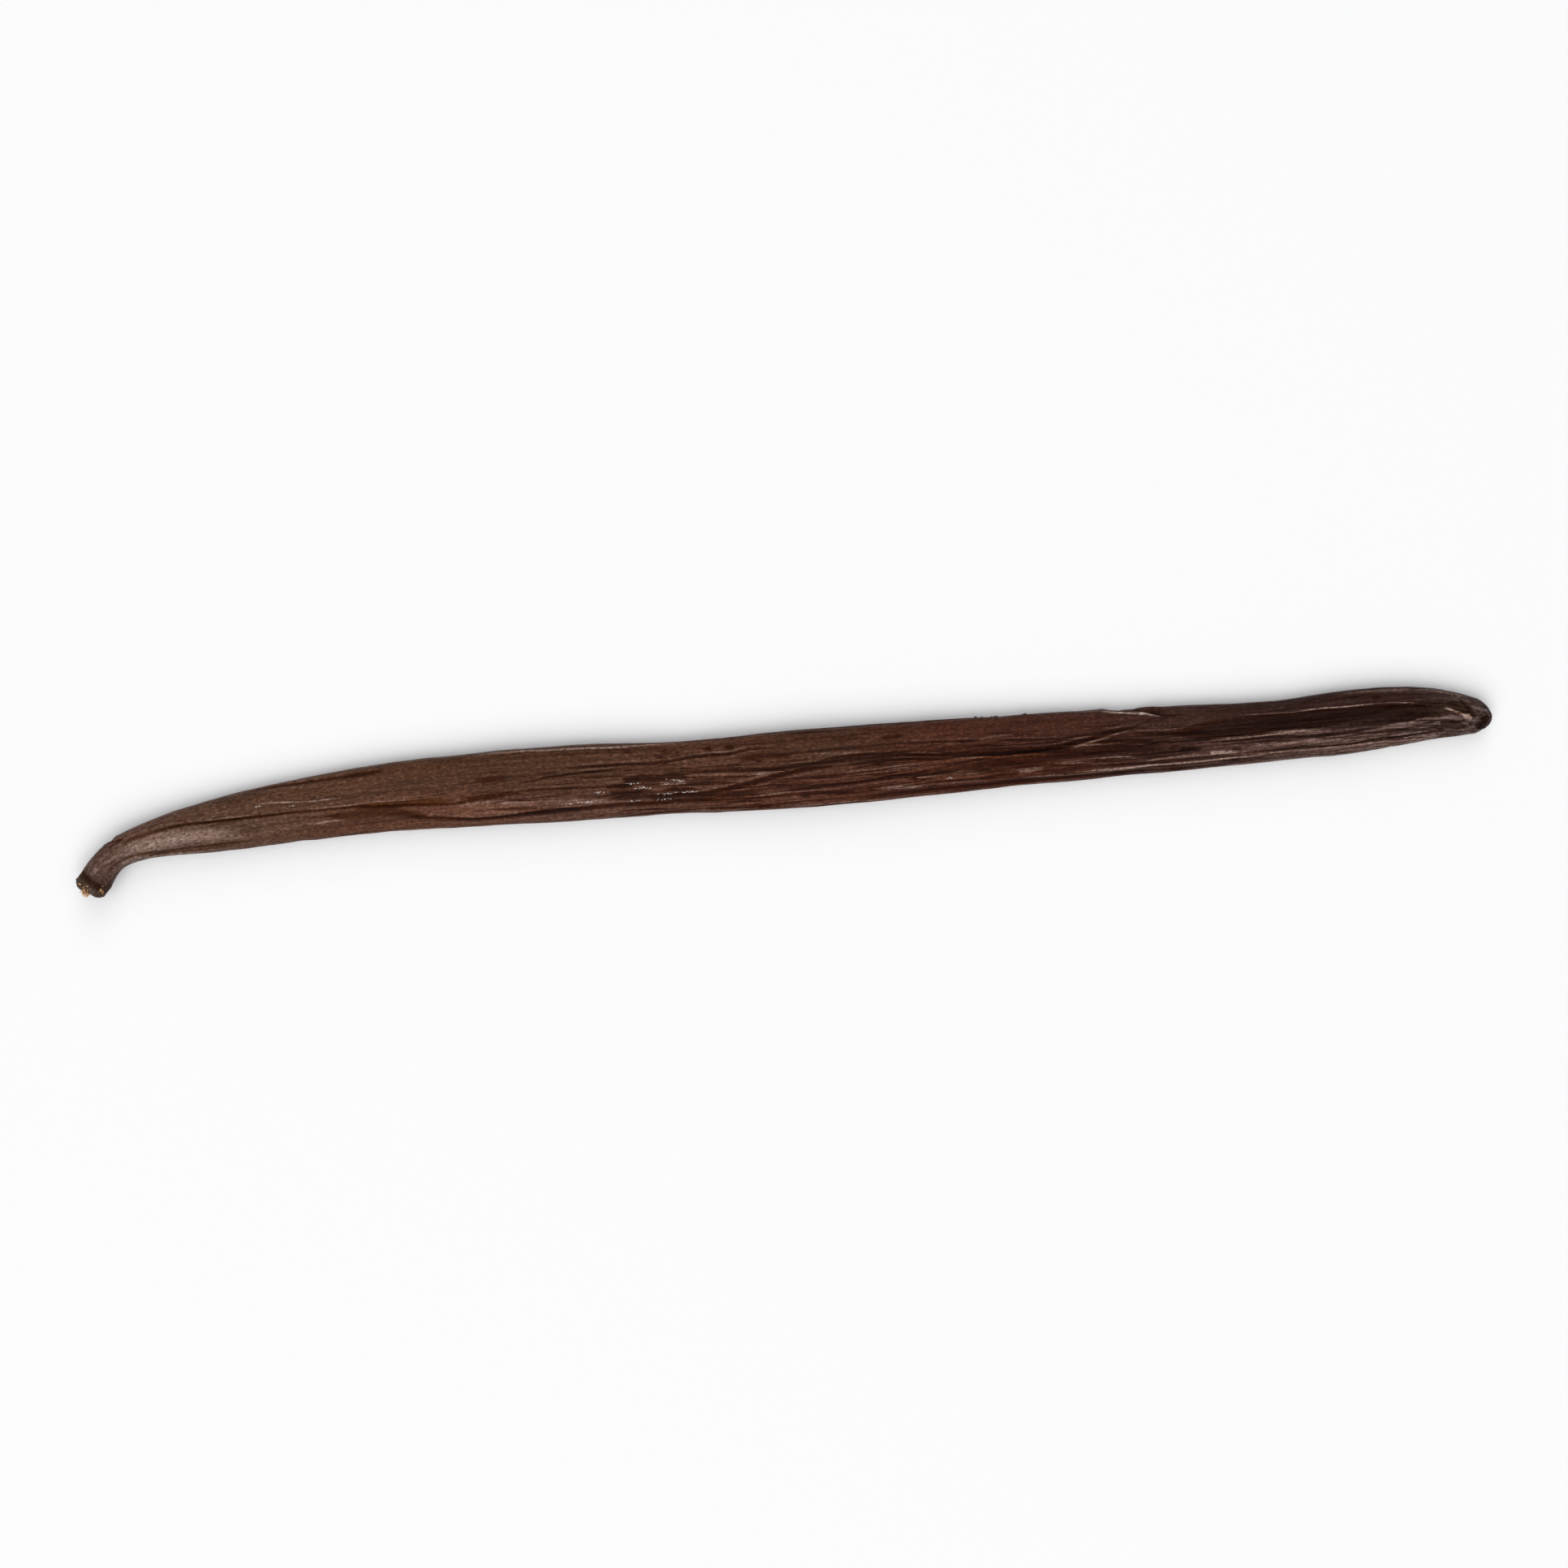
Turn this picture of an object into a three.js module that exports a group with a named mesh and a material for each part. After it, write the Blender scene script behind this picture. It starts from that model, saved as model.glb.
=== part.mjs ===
// A cured vanilla pod, lying on a table: one long flattened capsule with a hooked stem end and a blunt tip.
// Millimetres, +Z up. +X runs from the stem end to the tip, and the origin is under the middle of the box.
//
// The pod is turned on a lathe as a straight unit blank, and then wilted: every point of the blank knows how
// far along the pod it is and which way round it faces, and is moved out to the pod's own width, thickness,
// creases and bends.
import * as THREE from "three";
import { mergeVertices } from "three/addons/utils/BufferGeometryUtils.js";

// Driving dimensions. "Along" is millimetres along the pod's bent middle line, from the cut stem end.
// "Round" is degrees round its section: 0 at the +Y edge, 90 on top, 180 at the -Y edge, 270 underneath.
const LENGTH = 168;
const STEM_FACE = { setback: 1.25, slant: 0.6, rag: 0.16, rags: 5, reach: 4 };
const TIP_DOME = 2.3;
const FLATNESS = 2.3; // the section's exponent: 2 is an ellipse, more is squarer
const HALF_WIDTHS = [
  [0, 2.1], [2, 1.9], [5.3, 1.77], [10, 2.16], [17, 3.0], [26, 3.58], [43, 4.16], [59, 4.48],
  [71, 4.25], [87, 4.56], [101, 4.42], [112, 4.16], [125, 3.94], [129, 3.88], [143, 3.54], [151, 3.73],
  [158, 3.36], [164, 2.52], [168, 1.65],
];
const HALF_THICKNESSES = [
  [0, 1.8], [5.3, 1.6], [12, 1.85], [22, 2.1], [43, 2.3], [59, 2.4], [71, 2.15], [87, 2.45], [125, 2.15],
  [150, 2.1], [160, 1.75], [168, 1.3],
];
// Height of the middle line. Where it is less than the half thickness, the underside lies flat on the table.
const MIDDLE_HEIGHTS = [
  [0, 3.1], [6, 2.75], [13, 2.25], [23, 1.92], [40, 1.9], [55, 2.0], [71, 2.05], [87, 2.15], [110, 1.95],
  [130, 1.82], [148, 1.8], [158, 1.85], [168, 2.0],
];
// Which way the middle line heads, in degrees from +X.
const HEADINGS = [
  [0, 58], [2, 57], [4, 46], [7, 21], [10, 10.8], [14, 7.2], [26, 5], [46, 0.3], [71, -1.7], [82, -0.2],
  [102, 0.3], [131, -0.7], [140, 0.3], [149, 2.8], [158, 0.3], [163, -7], [168, -17],
];
// The deepest creases of the skin, each followed by its own path of [along, round].
const CREASES = [
  { depth: 0.45, width: 0.6, path: [[4, 78], [15, 75], [25, 91], [47, 106]] },
  { depth: 0.35, width: 0.6, path: [[3, 128], [9, 142], [22, 155]] },
  { depth: 0.35, width: 0.6, path: [[36, 112], [49, 150], [61, 141], [75, 135]] },
  { depth: 0.3, width: 0.55, path: [[46, 94], [57, 79], [67, 72]] },
  { depth: 0.35, width: 0.55, path: [[58, 67], [73, 59], [86, 50]] },
  { depth: 0.45, width: 0.6, path: [[67, 122], [81, 104], [93, 77], [110, 90]] },
  { depth: 0.4, width: 0.6, path: [[78, 138], [95, 116], [118, 108]] },
  { depth: 0.35, width: 0.55, path: [[90, 62], [106, 66], [117, 84], [127, 50]] },
  { depth: 0.55, width: 0.5, path: [[119, -24], [123, 0], [126, 22], [130, 42], [134, 54]] },
  { depth: 0.35, width: 0.55, path: [[112, 128], [133, 131], [160, 132]] },
  { depth: 0.6, width: 1.15, path: [[128, 80], [137, 73], [148, 74], [162, 84]] },
];
// The creases of the flanks and the underside are spread by rule.
const UNDER_CREASES = { count: 15, from: 172, to: 368, depth: 0.32, width: 0.6, sway: 13 };
const UNDER_LENGTHS = { shortest: 34, longest: 82, clearOfEnds: 8 };
const FADE = 7; // a crease grows from nothing to its full depth over this length
const LUMPS = { height: 0.07, long: 21, short: 9, twist: 3 };
const AROUND = 56;
const ROWS = { face: 4, body: 80, dome: 7, crowding: 0.07 }; // the body's rows lie closer at both ends

const GOLDEN = (Math.sqrt(5) - 1) / 2;
const DEGREE = Math.PI / 180;
const STEP = 0.25; // the middle line is walked in steps this long
const WELD = 1e-3; // points closer than this are one point

// The value at `at` of a smooth curve through the keys, each [where, value].
function keyed(keys, at) {
  const last = keys.length - 1;
  if (at <= keys[0][0]) return keys[0][1];
  if (at >= keys[last][0]) return keys[last][1];
  const i = keys.findIndex((key, k) => k < last && at < keys[k + 1][0]);
  const slope = (k) => {
    const a = keys[Math.max(k - 1, 0)];
    const b = keys[Math.min(k + 1, last)];
    return (b[1] - a[1]) / (b[0] - a[0]);
  };
  const [x0, y0] = keys[i];
  const [x1, y1] = keys[i + 1];
  const t = (at - x0) / (x1 - x0);
  const u = 1 - t;
  const bend = (x1 - x0) * t * u * (slope(i) * u - slope(i + 1) * t);
  return y0 * (1 + 2 * t) * u * u + y1 * (3 - 2 * t) * t * t + bend;
}

// The middle line seen from above, as points a step apart.
function walkMiddleLine() {
  const points = [new THREE.Vector2()];
  for (let along = STEP / 2; along < LENGTH; along += STEP) {
    const heading = keyed(HEADINGS, along) * DEGREE;
    const stride = new THREE.Vector2(Math.cos(heading), Math.sin(heading)).multiplyScalar(STEP);
    points.push(points[points.length - 1].clone().add(stride));
  }
  return points;
}
const MIDDLE_LINE = walkMiddleLine();

function middleAt(along) {
  const place = THREE.MathUtils.clamp(along / STEP, 0, MIDDLE_LINE.length - 1.001);
  const i = Math.floor(place);
  return MIDDLE_LINE[i].clone().lerp(MIDDLE_LINE[i + 1], place - i);
}

// Creases at the flanks and underneath, spaced evenly round and scattered along by the golden ratio.
function underCreases() {
  const { count, from, to, depth, width, sway } = UNDER_CREASES;
  const { shortest, longest, clearOfEnds } = UNDER_LENGTHS;
  return Array.from({ length: count }, (_, k) => {
    const scatter = (salt) => (k * GOLDEN + salt) % 1;
    const round = from + ((to - from) * (k + 0.5)) / count;
    const length = THREE.MathUtils.lerp(shortest, longest, scatter(0.35));
    const begin = THREE.MathUtils.lerp(clearOfEnds, LENGTH - clearOfEnds - length, scatter(0));
    const lean = sway * (2 * scatter(0.7) - 1);
    const turns = [round - lean, round + lean / 2, round - lean / 3];
    return { depth, width, path: turns.map((turn, i) => [begin + (length * i) / 2, turn]) };
  });
}
const ALL_CREASES = [...CREASES, ...underCreases()];

// How far the skin stands out at a place, in millimetres: creases go in, and low lumps go both ways.
function relief(along, round, halfWidth, halfThickness) {
  const girth = Math.hypot(halfWidth * Math.sin(round), halfThickness * Math.cos(round));
  const { long, short, twist } = LUMPS;
  let height = LUMPS.height * Math.sin(along / long + twist * round) * Math.cos(along / short - round);
  for (const { depth, width, path } of ALL_CREASES) {
    const begin = path[0][0];
    const end = path[path.length - 1][0];
    if (along <= begin || along >= end) continue;
    const grown = Math.min(1, (along - begin) / FADE, (end - along) / FADE);
    let turn = round - keyed(path, along) * DEGREE;
    turn = Math.atan2(Math.sin(turn), Math.cos(turn));
    height -= depth * grown * (2 - grown) * Math.exp(-(((turn * girth) / width) ** 2));
  }
  return height;
}

// The straight blank, lying along +X: turned about its length, with a radius of 1 and both ends closed.
function turnBlank() {
  const profile = [];
  for (let i = 0; i < ROWS.face; i++) profile.push(new THREE.Vector2(i / ROWS.face, 0));
  for (let i = 0; i <= ROWS.body; i++) {
    const share = i / ROWS.body;
    const along = (LENGTH - TIP_DOME) * (share - ROWS.crowding * Math.sin(2 * Math.PI * share));
    profile.push(new THREE.Vector2(1, along));
  }
  for (let i = 1; i <= ROWS.dome; i++) {
    const angle = (i / ROWS.dome) * (Math.PI / 2);
    const radius = i === ROWS.dome ? 0 : Math.cos(angle);
    profile.push(new THREE.Vector2(radius, LENGTH - TIP_DOME + TIP_DOME * Math.sin(angle)));
  }
  return new THREE.LatheGeometry(profile, AROUND).rotateZ(-Math.PI / 2);
}

// The stem's cut is ragged and slants: how far it steps back along the pod, at this radius of the blank.
function faceSetback(radius, round) {
  const { setback, slant, rag, rags } = STEM_FACE;
  const torn = rag * (Math.sin(rags * round) + Math.sin((rags + 3) * round + 1));
  return radius ** 3 * (setback - slant * Math.cos(round) + torn);
}

// Moves one point of the blank to its place on the pod.
function wilt(point) {
  const radius = Math.hypot(point.y, point.z);
  const round = Math.atan2(point.z, point.y);
  const nearFace = Math.max(0, 1 - point.x / STEM_FACE.reach);
  const along = point.x + nearFace * faceSetback(radius, round);
  const halfWidth = keyed(HALF_WIDTHS, along);
  const halfThickness = keyed(HALF_THICKNESSES, along);
  const squared = (x) => Math.sign(x) * Math.abs(x) ** (2 / FLATNESS);
  const out = new THREE.Vector2(halfThickness * Math.cos(round), halfWidth * Math.sin(round)).normalize();
  out.multiplyScalar(radius * relief(along, round, halfWidth, halfThickness));
  const across = radius * halfWidth * squared(Math.cos(round)) + out.x;
  const up = radius * halfThickness * squared(Math.sin(round)) + out.y;
  const heading = keyed(HEADINGS, along) * DEGREE;
  const middle = middleAt(along);
  const height = keyed(MIDDLE_HEIGHTS, along) + up;
  return new THREE.Vector3(
    middle.x - Math.sin(heading) * across,
    middle.y + Math.cos(heading) * across,
    Math.max(0, height), // what would sink into the table lies flat on it
  );
}

function makePod() {
  const blank = turnBlank();
  blank.deleteAttribute("normal");
  blank.deleteAttribute("uv");
  const position = blank.getAttribute("position");
  const point = new THREE.Vector3();
  for (let i = 0; i < position.count; i++) {
    point.fromBufferAttribute(position, i);
    position.setXYZ(i, ...wilt(point).toArray());
  }
  const geometry = mergeVertices(blank, WELD);
  geometry.computeBoundingBox();
  const centre = geometry.boundingBox.getCenter(new THREE.Vector3());
  geometry.translate(-centre.x, -centre.y, 0);
  geometry.computeVertexNormals();
  return geometry;
}

const skin = new THREE.MeshStandardMaterial({ color: 0x4a3127, roughness: 0.42, metalness: 0 });
const pod = new THREE.Mesh(makePod(), skin);
pod.name = "vanilla_pod";

const object = new THREE.Group();
object.add(pod);
export default object;
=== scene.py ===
# %% [markdown]
# # A cured vanilla pod
#
# A vanilla pod is the seed capsule of an orchid. Cured, it is long, soft and nearly black, with an oily
# shine and a skin that has shrunk into creases. It has no parts to put together: what makes it look real
# is its slow bend, the way it sags flat on the table, and hundreds of creases that run from end to end.
#
# So the lesson goes from coarse to fine. A few measurements give a smooth pod. Geometry Nodes then press
# creases and wrinkles into it. A leathery material, a torn stem, a few specks and soft light finish it.
# Sizes are in millimetres until they become a mesh, because a pod is easier to picture that way.

# %% Load the frame
import math

import bpy
import numpy as np
from mathutils import Matrix, Vector


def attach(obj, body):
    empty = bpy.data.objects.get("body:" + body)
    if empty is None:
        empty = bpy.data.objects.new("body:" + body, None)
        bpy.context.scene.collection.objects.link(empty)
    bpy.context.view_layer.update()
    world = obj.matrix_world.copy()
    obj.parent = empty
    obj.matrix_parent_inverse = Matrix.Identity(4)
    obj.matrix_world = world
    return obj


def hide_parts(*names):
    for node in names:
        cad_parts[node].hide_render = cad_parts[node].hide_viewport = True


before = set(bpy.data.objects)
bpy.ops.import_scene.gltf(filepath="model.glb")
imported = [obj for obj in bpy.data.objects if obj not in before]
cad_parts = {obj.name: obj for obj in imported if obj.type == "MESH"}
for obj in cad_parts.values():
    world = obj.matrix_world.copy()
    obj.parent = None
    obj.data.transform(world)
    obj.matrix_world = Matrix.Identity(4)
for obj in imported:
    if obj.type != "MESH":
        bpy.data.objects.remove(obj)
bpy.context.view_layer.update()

MM = 0.001

# %% [markdown]
# ## A few measurements that describe the whole pod
#
# A list of every point on the skin would be long and hard to change. Instead each quality of the pod, such
# as its half width, is a short list of keys: at this many millimetres along, it is this much. A smooth
# curve joins the keys. "Along" is measured on the pod's own bent middle line, from the cut stem end, and
# "round" is the angle round its section: 0 at the +Y edge, 90 degrees on top, 180 at the -Y edge.

# %% The pod's measurements
LENGTH = 168.0
FLATNESS = 2.3  # the section's exponent: 2 is an ellipse, more is squarer
HALF_WIDTHS = [
    (0, 2.1), (2, 1.9), (5.3, 1.77), (10, 2.16), (17, 3.0), (26, 3.58), (43, 4.16), (59, 4.48),
    (71, 4.25), (87, 4.56), (101, 4.42), (112, 4.16), (125, 3.94), (129, 3.88), (143, 3.54), (151, 3.73),
    (158, 3.36), (164, 2.52), (168, 1.65),
]
HALF_THICKNESSES = [
    (0, 1.8), (5.3, 1.6), (12, 1.85), (22, 2.1), (43, 2.3), (59, 2.4), (71, 2.15), (87, 2.45), (125, 2.15),
    (150, 2.1), (160, 1.75), (168, 1.3),
]
# Where the middle line is lower than the half thickness, the underside lies flat on the table.
MIDDLE_HEIGHTS = [
    (0, 3.1), (6, 2.75), (13, 2.25), (23, 1.92), (40, 1.9), (55, 2.0), (71, 2.05), (87, 2.15), (110, 1.95),
    (130, 1.82), (148, 1.8), (158, 1.85), (168, 2.0),
]
# Degrees that the middle line heads away from +X.
HEADINGS = [
    (0, 58), (2, 57), (4, 46), (7, 21), (10, 10.8), (14, 7.2), (26, 5), (46, 0.3), (71, -1.7), (82, -0.2),
    (102, 0.3), (131, -0.7), (140, 0.3), (149, 2.8), (158, 0.3), (163, -7), (168, -17),
]


def keyed(keys, at):
    """The value at `at` of a smooth curve through the keys, each (where, value)."""
    where, value = np.array(keys, float).T
    last = len(where) - 1
    before = np.maximum(np.arange(last + 1) - 1, 0)
    after = np.minimum(np.arange(last + 1) + 1, last)
    slope = (value[after] - value[before]) / (where[after] - where[before])
    at = np.clip(at, where[0], where[-1])
    i = np.clip(np.searchsorted(where, at, side="right") - 1, 0, last - 1)
    gap = where[i + 1] - where[i]
    t = (at - where[i]) / gap
    u = 1 - t
    bend = gap * t * u * (slope[i] * u - slope[i + 1] * t)
    return value[i] * (1 + 2 * t) * u * u + value[i + 1] * (3 - 2 * t) * t * t + bend


print("widest half width", keyed(HALF_WIDTHS, np.linspace(0, LENGTH, 500)).max().round(2), "mm")

# %% [markdown]
# ## The middle line
#
# The pod's bend is easiest to describe as a walk: at each step it heads a little more to one side. The
# keys above say which way it heads, and adding up the steps gives the line. Its stem end hooks sharply,
# because the pod grew hanging from there, and the rest is almost straight.

# %% Walk the middle line
STEP = 0.25
walked = np.arange(0, LENGTH + STEP / 2, STEP)
headings = np.radians(keyed(HEADINGS, walked[:-1] + STEP / 2))
strides = STEP * np.column_stack([np.cos(headings), np.sin(headings)])
middle_line = np.vstack([[0, 0], np.cumsum(strides, axis=0)])


def middle_at(along):
    """The x and y of the middle line at these places along it."""
    return np.interp(along, walked, middle_line[:, 0]), np.interp(along, walked, middle_line[:, 1])


print("the line ends", middle_line[-1].round(1), "mm from where it starts")

# %% [markdown]
# ## The section, and a flat chart of the skin
#
# A section of the pod is a flattened oval. Points spaced evenly by angle would crowd at its two narrow
# edges, so they are spaced by length of skin instead, closer on top where they are seen. That length,
# counted from the top of the pod, is the "girth". Along and girth together are a flat chart of the skin,
# as if it were slit underneath and unrolled: creases are then drawn on the chart as on paper.

# %% Section and girth
LOOP = np.radians(np.linspace(-90, 270, 721))  # round the section, from underneath and back again
TOP = 360  # the number of the angle on top
ON_TOP = slice(180, 541)  # the angles from the +Y edge over the top to the -Y edge


def section(along, round_):
    """How far across and how far up from the middle line the smooth skin is, at these places."""
    def squared(x):
        """A sine or cosine pushed outwards, which turns an ellipse squarer."""
        return np.sign(x) * np.abs(x) ** (2 / FLATNESS)
    across = keyed(HALF_WIDTHS, along) * squared(np.cos(round_))
    up = keyed(HALF_THICKNESSES, along) * squared(np.sin(round_))
    return across, up


def girths(along):
    """The girth at every angle of LOOP, a row for each place along: 0 on top, more towards +Y."""
    across, up = section(np.reshape(along, (-1, 1)), LOOP[None, :])
    run = np.hypot(np.diff(across, axis=1), np.diff(up, axis=1)).cumsum(axis=1)
    run = np.hstack([np.zeros((len(run), 1)), run])
    return run[:, TOP : TOP + 1] - run


print("skin round the middle of the pod:", np.ptp(girths(LENGTH / 2)).round(1), "mm")

# %% [markdown]
# ## The smooth pod
#
# The skin is a grid: rings along the pod, and points round each ring. A grid bends and wrinkles evenly,
# and its rings can close at both ends. At the stem they run inwards over the ragged cut, and at the tip
# they shrink into a dome. Every point keeps its place on the chart as an attribute, because nothing later
# should have to guess where on the pod it is.

# %% Rings and points
RINGS = {"face": 9, "body": 450, "dome": 14}
SIDES = 204
CROWDING = {"ends": 0.07, "top": 0.4}
# The cut of the stem, in mm. Its flatness is an exponent, rags counts the torn points round its rim, and
# fine_rag is the height of the finer ones as a share of rag.
STEM_FACE = {
    "setback": 1.2, "slant": 0.6, "flatness": 5, "rag": 0.16, "rags": 5, "fine_rag": 0.6, "reach": 4.0,
}
TIP_DOME = 2.3

face = np.arange(1, RINGS["face"]) / RINGS["face"]
body = np.arange(RINGS["body"] + 1) / RINGS["body"]
body = (LENGTH - TIP_DOME) * (body - CROWDING["ends"] * np.sin(2 * np.pi * body))
dome = np.arange(1, RINGS["dome"]) / RINGS["dome"] * np.pi / 2
ring_radius = np.concatenate([face, np.ones(len(body)), np.cos(dome)])
ring_along = np.concatenate([0 * face, body, LENGTH - TIP_DOME + TIP_DOME * np.sin(dome)])

share = np.arange(SIDES) / SIDES
share = share + CROWDING["top"] * np.sin(2 * np.pi * share) / (2 * np.pi)  # closer together on top


def ring_rounds(along):
    """The angles of a ring's points, a row for each ring, spaced by length of skin."""
    girth = girths(along)
    wanted = girth[:, :1] + share[None, :] * (girth[:, -1:] - girth[:, :1])
    rounds = [np.interp(-w, -g, LOOP) for w, g in zip(wanted, girth)]
    return np.array(rounds), wanted


print(len(ring_radius), "rings of", SIDES, "points")


# %% Wilt the straight rings into the pod
def face_setback(radius, round_):
    """How far the ragged, slanting cut of the stem steps back along the pod."""
    rags = STEM_FACE["rags"]
    torn = np.sin(rags * round_) + np.sin((rags + 3) * round_ + 1)
    torn = torn + STEM_FACE["fine_rag"] * np.sin(4 * rags * round_ + 2)
    back = STEM_FACE["setback"] - STEM_FACE["slant"] * np.cos(round_) + STEM_FACE["rag"] * torn
    return radius ** STEM_FACE["flatness"] * back


def wilt(radius, along, round_):
    """A point of the pod in mm: where it lies once the pod has bent and sagged, and in the straight pod."""
    near_face = np.maximum(0, 1 - along / STEM_FACE["reach"])
    along = along + near_face * face_setback(radius, round_)
    across, up = section(along, round_)
    heading = np.radians(keyed(HEADINGS, along))
    x, y = middle_at(along)
    x = x - np.sin(heading) * across * radius
    y = y + np.cos(heading) * across * radius
    z = keyed(MIDDLE_HEIGHTS, along) + up * radius
    return np.stack([x, y, z], axis=-1), np.stack([along, across * radius, up * radius], axis=-1)


rounds, ring_girths = ring_rounds(ring_along)
radii = np.repeat(ring_radius[:, None], SIDES, axis=1)
skin_points, skin_straight = wilt(radii, ring_along[:, None] + 0 * rounds, rounds)
pole_points, pole_straight = wilt(np.zeros(2), np.array([0, LENGTH]), np.zeros(2))
points = np.vstack([skin_points.reshape(-1, 3), pole_points])
straight = np.vstack([skin_straight.reshape(-1, 3), pole_straight])
chart = np.column_stack([straight[:, 0], np.append(ring_girths, [0, 0]), np.append(radii, [0, 0])])
middle_of_box = (points.max(axis=0) + points.min(axis=0)) / 2
points[:, :2] -= middle_of_box[:2]
print(len(points), "points on the smooth skin")


# %% The smooth skin as a mesh
def grid_faces(rings, sides):
    """Quads between the rings, and a fan of triangles that closes each end on its pole."""
    ring = np.arange(rings - 1)[:, None] * sides
    side = np.arange(sides)[None, :]
    after = (side + 1) % sides
    quads = np.stack([ring + side, ring + after, ring + sides + after, ring + sides + side], axis=-1)
    last = (rings - 1) * sides
    stem, tip = rings * sides, rings * sides + 1
    fans = [(stem, (i + 1) % sides, i) for i in range(sides)]
    fans += [(tip, last + i, last + (i + 1) % sides) for i in range(sides)]
    return quads.reshape(-1, 4).tolist() + fans


def put_in_scene(name, data):
    """A new object in the scene, with this mesh, lamp or camera."""
    made = bpy.data.objects.new(name, data)
    bpy.context.scene.collection.objects.link(made)
    return made


def mesh_object(name, vertices, edges, faces):
    """A mesh object in the scene from plain lists."""
    mesh = bpy.data.meshes.new(name)
    mesh.from_pydata(vertices, edges, faces)
    return put_in_scene(name, mesh)


def keep_vectors(made, name, vectors):
    """Stores one vector on every point of the mesh."""
    attribute = made.data.attributes.new(name, "FLOAT_VECTOR", "POINT")
    attribute.data.foreach_set("vector", np.asarray(vectors, np.float32).ravel())


pod = mesh_object("cured_pod", points * MM, [], grid_faces(len(ring_radius), SIDES))
keep_vectors(pod, "chart", chart)  # along, girth, and 1 on the skin falling to 0 in the middle of both ends
keep_vectors(pod, "straight", straight)  # along, across and up in the straight pod
pod.data.shade_smooth()
print(len(pod.data.polygons), "faces")

# %% [markdown]
# ## The creases, drawn on the chart
#
# As a pod dries, its skin shrinks less than what is inside, so it folds into long creases. Each one is a
# path of a few given places, (along, across) as seen from above, with a depth, a half width and a shade:
# how much darker the skin is down in it, partly from oil and partly painted shade. A number after the path
# says over how many mm it fades at its ends. Drawing the creases one by one is worth the time: random
# wrinkles alone look like bark, while real creases start, meet and die out in their own way.

# %% Creases of the stem and the first half
CREASES = [  # (depth, half width, shade, path), and for some the length of their fade
    # the neck, and the two long folds of the stem
    (0.2, 0.3, 0.5, [(1.9, 1.9), (1.75, 1.0), (1.5, 0.2), (1.4, -0.5), (1.6, -1.2)], 0.3),
    (0.16, 0.12, 0.7, [(5.7, 1.6), (6.3, 1.4), (7.4, 1.3)], 0.6),
    (0.1, 0.12, 0.5, [(5.4, 1.2), (6.2, 1.15), (7.2, 1.25)], 0.6),
    (0.1, 0.16, 0.45, [(3.0, 0.7), (3.8, 0.2), (4.6, -0.2), (5.6, -0.5)], 0.8),
    (0.15, 0.2, 0.45, [(6, 0.6), (9, 0.85), (12, 0.95), (15, 0.85)]),
    (0.2, 0.12, 0.5, [(12, 1.0), (15, 0.9), (18, 0.6), (22, 0.3), (26, 0.02), (32, -0.3), (36, -0.55),
        (40, -0.95), (44, -1.25), (46, -1.3), (48, -1.12), (50.5, -0.9), (52, -0.6), (56, -0.4)]),
    (0.06, 0.1, 0.3, [(14, 0.95), (18, 0.6), (22, 0.3), (27, -0.03)]),
    (0.22, 0.22, 0.55, [(2.5, -1.0), (5, -0.95), (8, -1.2), (12, -1.75), (16, -2.15), (20, -2.4),
        (23, -2.8)]),
    (0.1, 0.1, 0.45, [(9, -1.6), (12, -2.05), (16, -2.45), (20, -2.75)]),
    (0.06, 0.1, 0.4, [(18.0, -0.9), (18.9, -0.95)], 0.3),
    (0.06, 0.12, 0.4, [(19.0, -1.4), (19.3, -0.95)], 0.3),
    (0.08, 0.12, 0.35, [(27, -0.75), (30, -1.0), (33, -1.2)]),
    (0.12, 0.2, 0.6, [(21, 3.2), (26, 3.25), (30, 3.2), (34, 3.2), (38, 3.3)]),
    # the first half of the body
    (0.2, 0.2, 1.0, [(40, -2.2), (42, -2.65), (44, -2.9), (46, -3.15), (48, -3.35), (52, -3.4), (55, -3.15),
        (60, -3.0), (63, -2.8), (69, -2.75), (75, -2.75), (77, -3.05)]),
    (0.12, 0.14, 0.45, [(50, -2.4), (53, -2.55), (57, -2.8), (61, -2.95)]),
    (0.14, 0.1, 0.65, [(53, 0.45), (55, 0.65), (57, 1.05), (61, 1.3), (63, 1.4), (66, 1.65), (68, 1.7)]),
    (0.18, 0.14, 0.8, [(58, 1.85), (62, 2.0), (67, 1.95), (71, 2.05), (73, 2.3), (76, 2.63), (78, 2.58),
        (81, 2.93), (85, 2.85)]),
    (0.1, 0.17, 0.4, [(53, -0.1), (57, -0.4), (61, -0.5)]),
    (0.08, 0.12, 0.35, [(51, -1.1), (54.5, -1.4), (57, -1.2), (61, -0.95)]),
    (0.07, 0.1, 0.35, [(47.5, 0.0), (50, -0.05), (53, 0.1)], 1),
]
print(len(CREASES), "creases so far")

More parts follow.
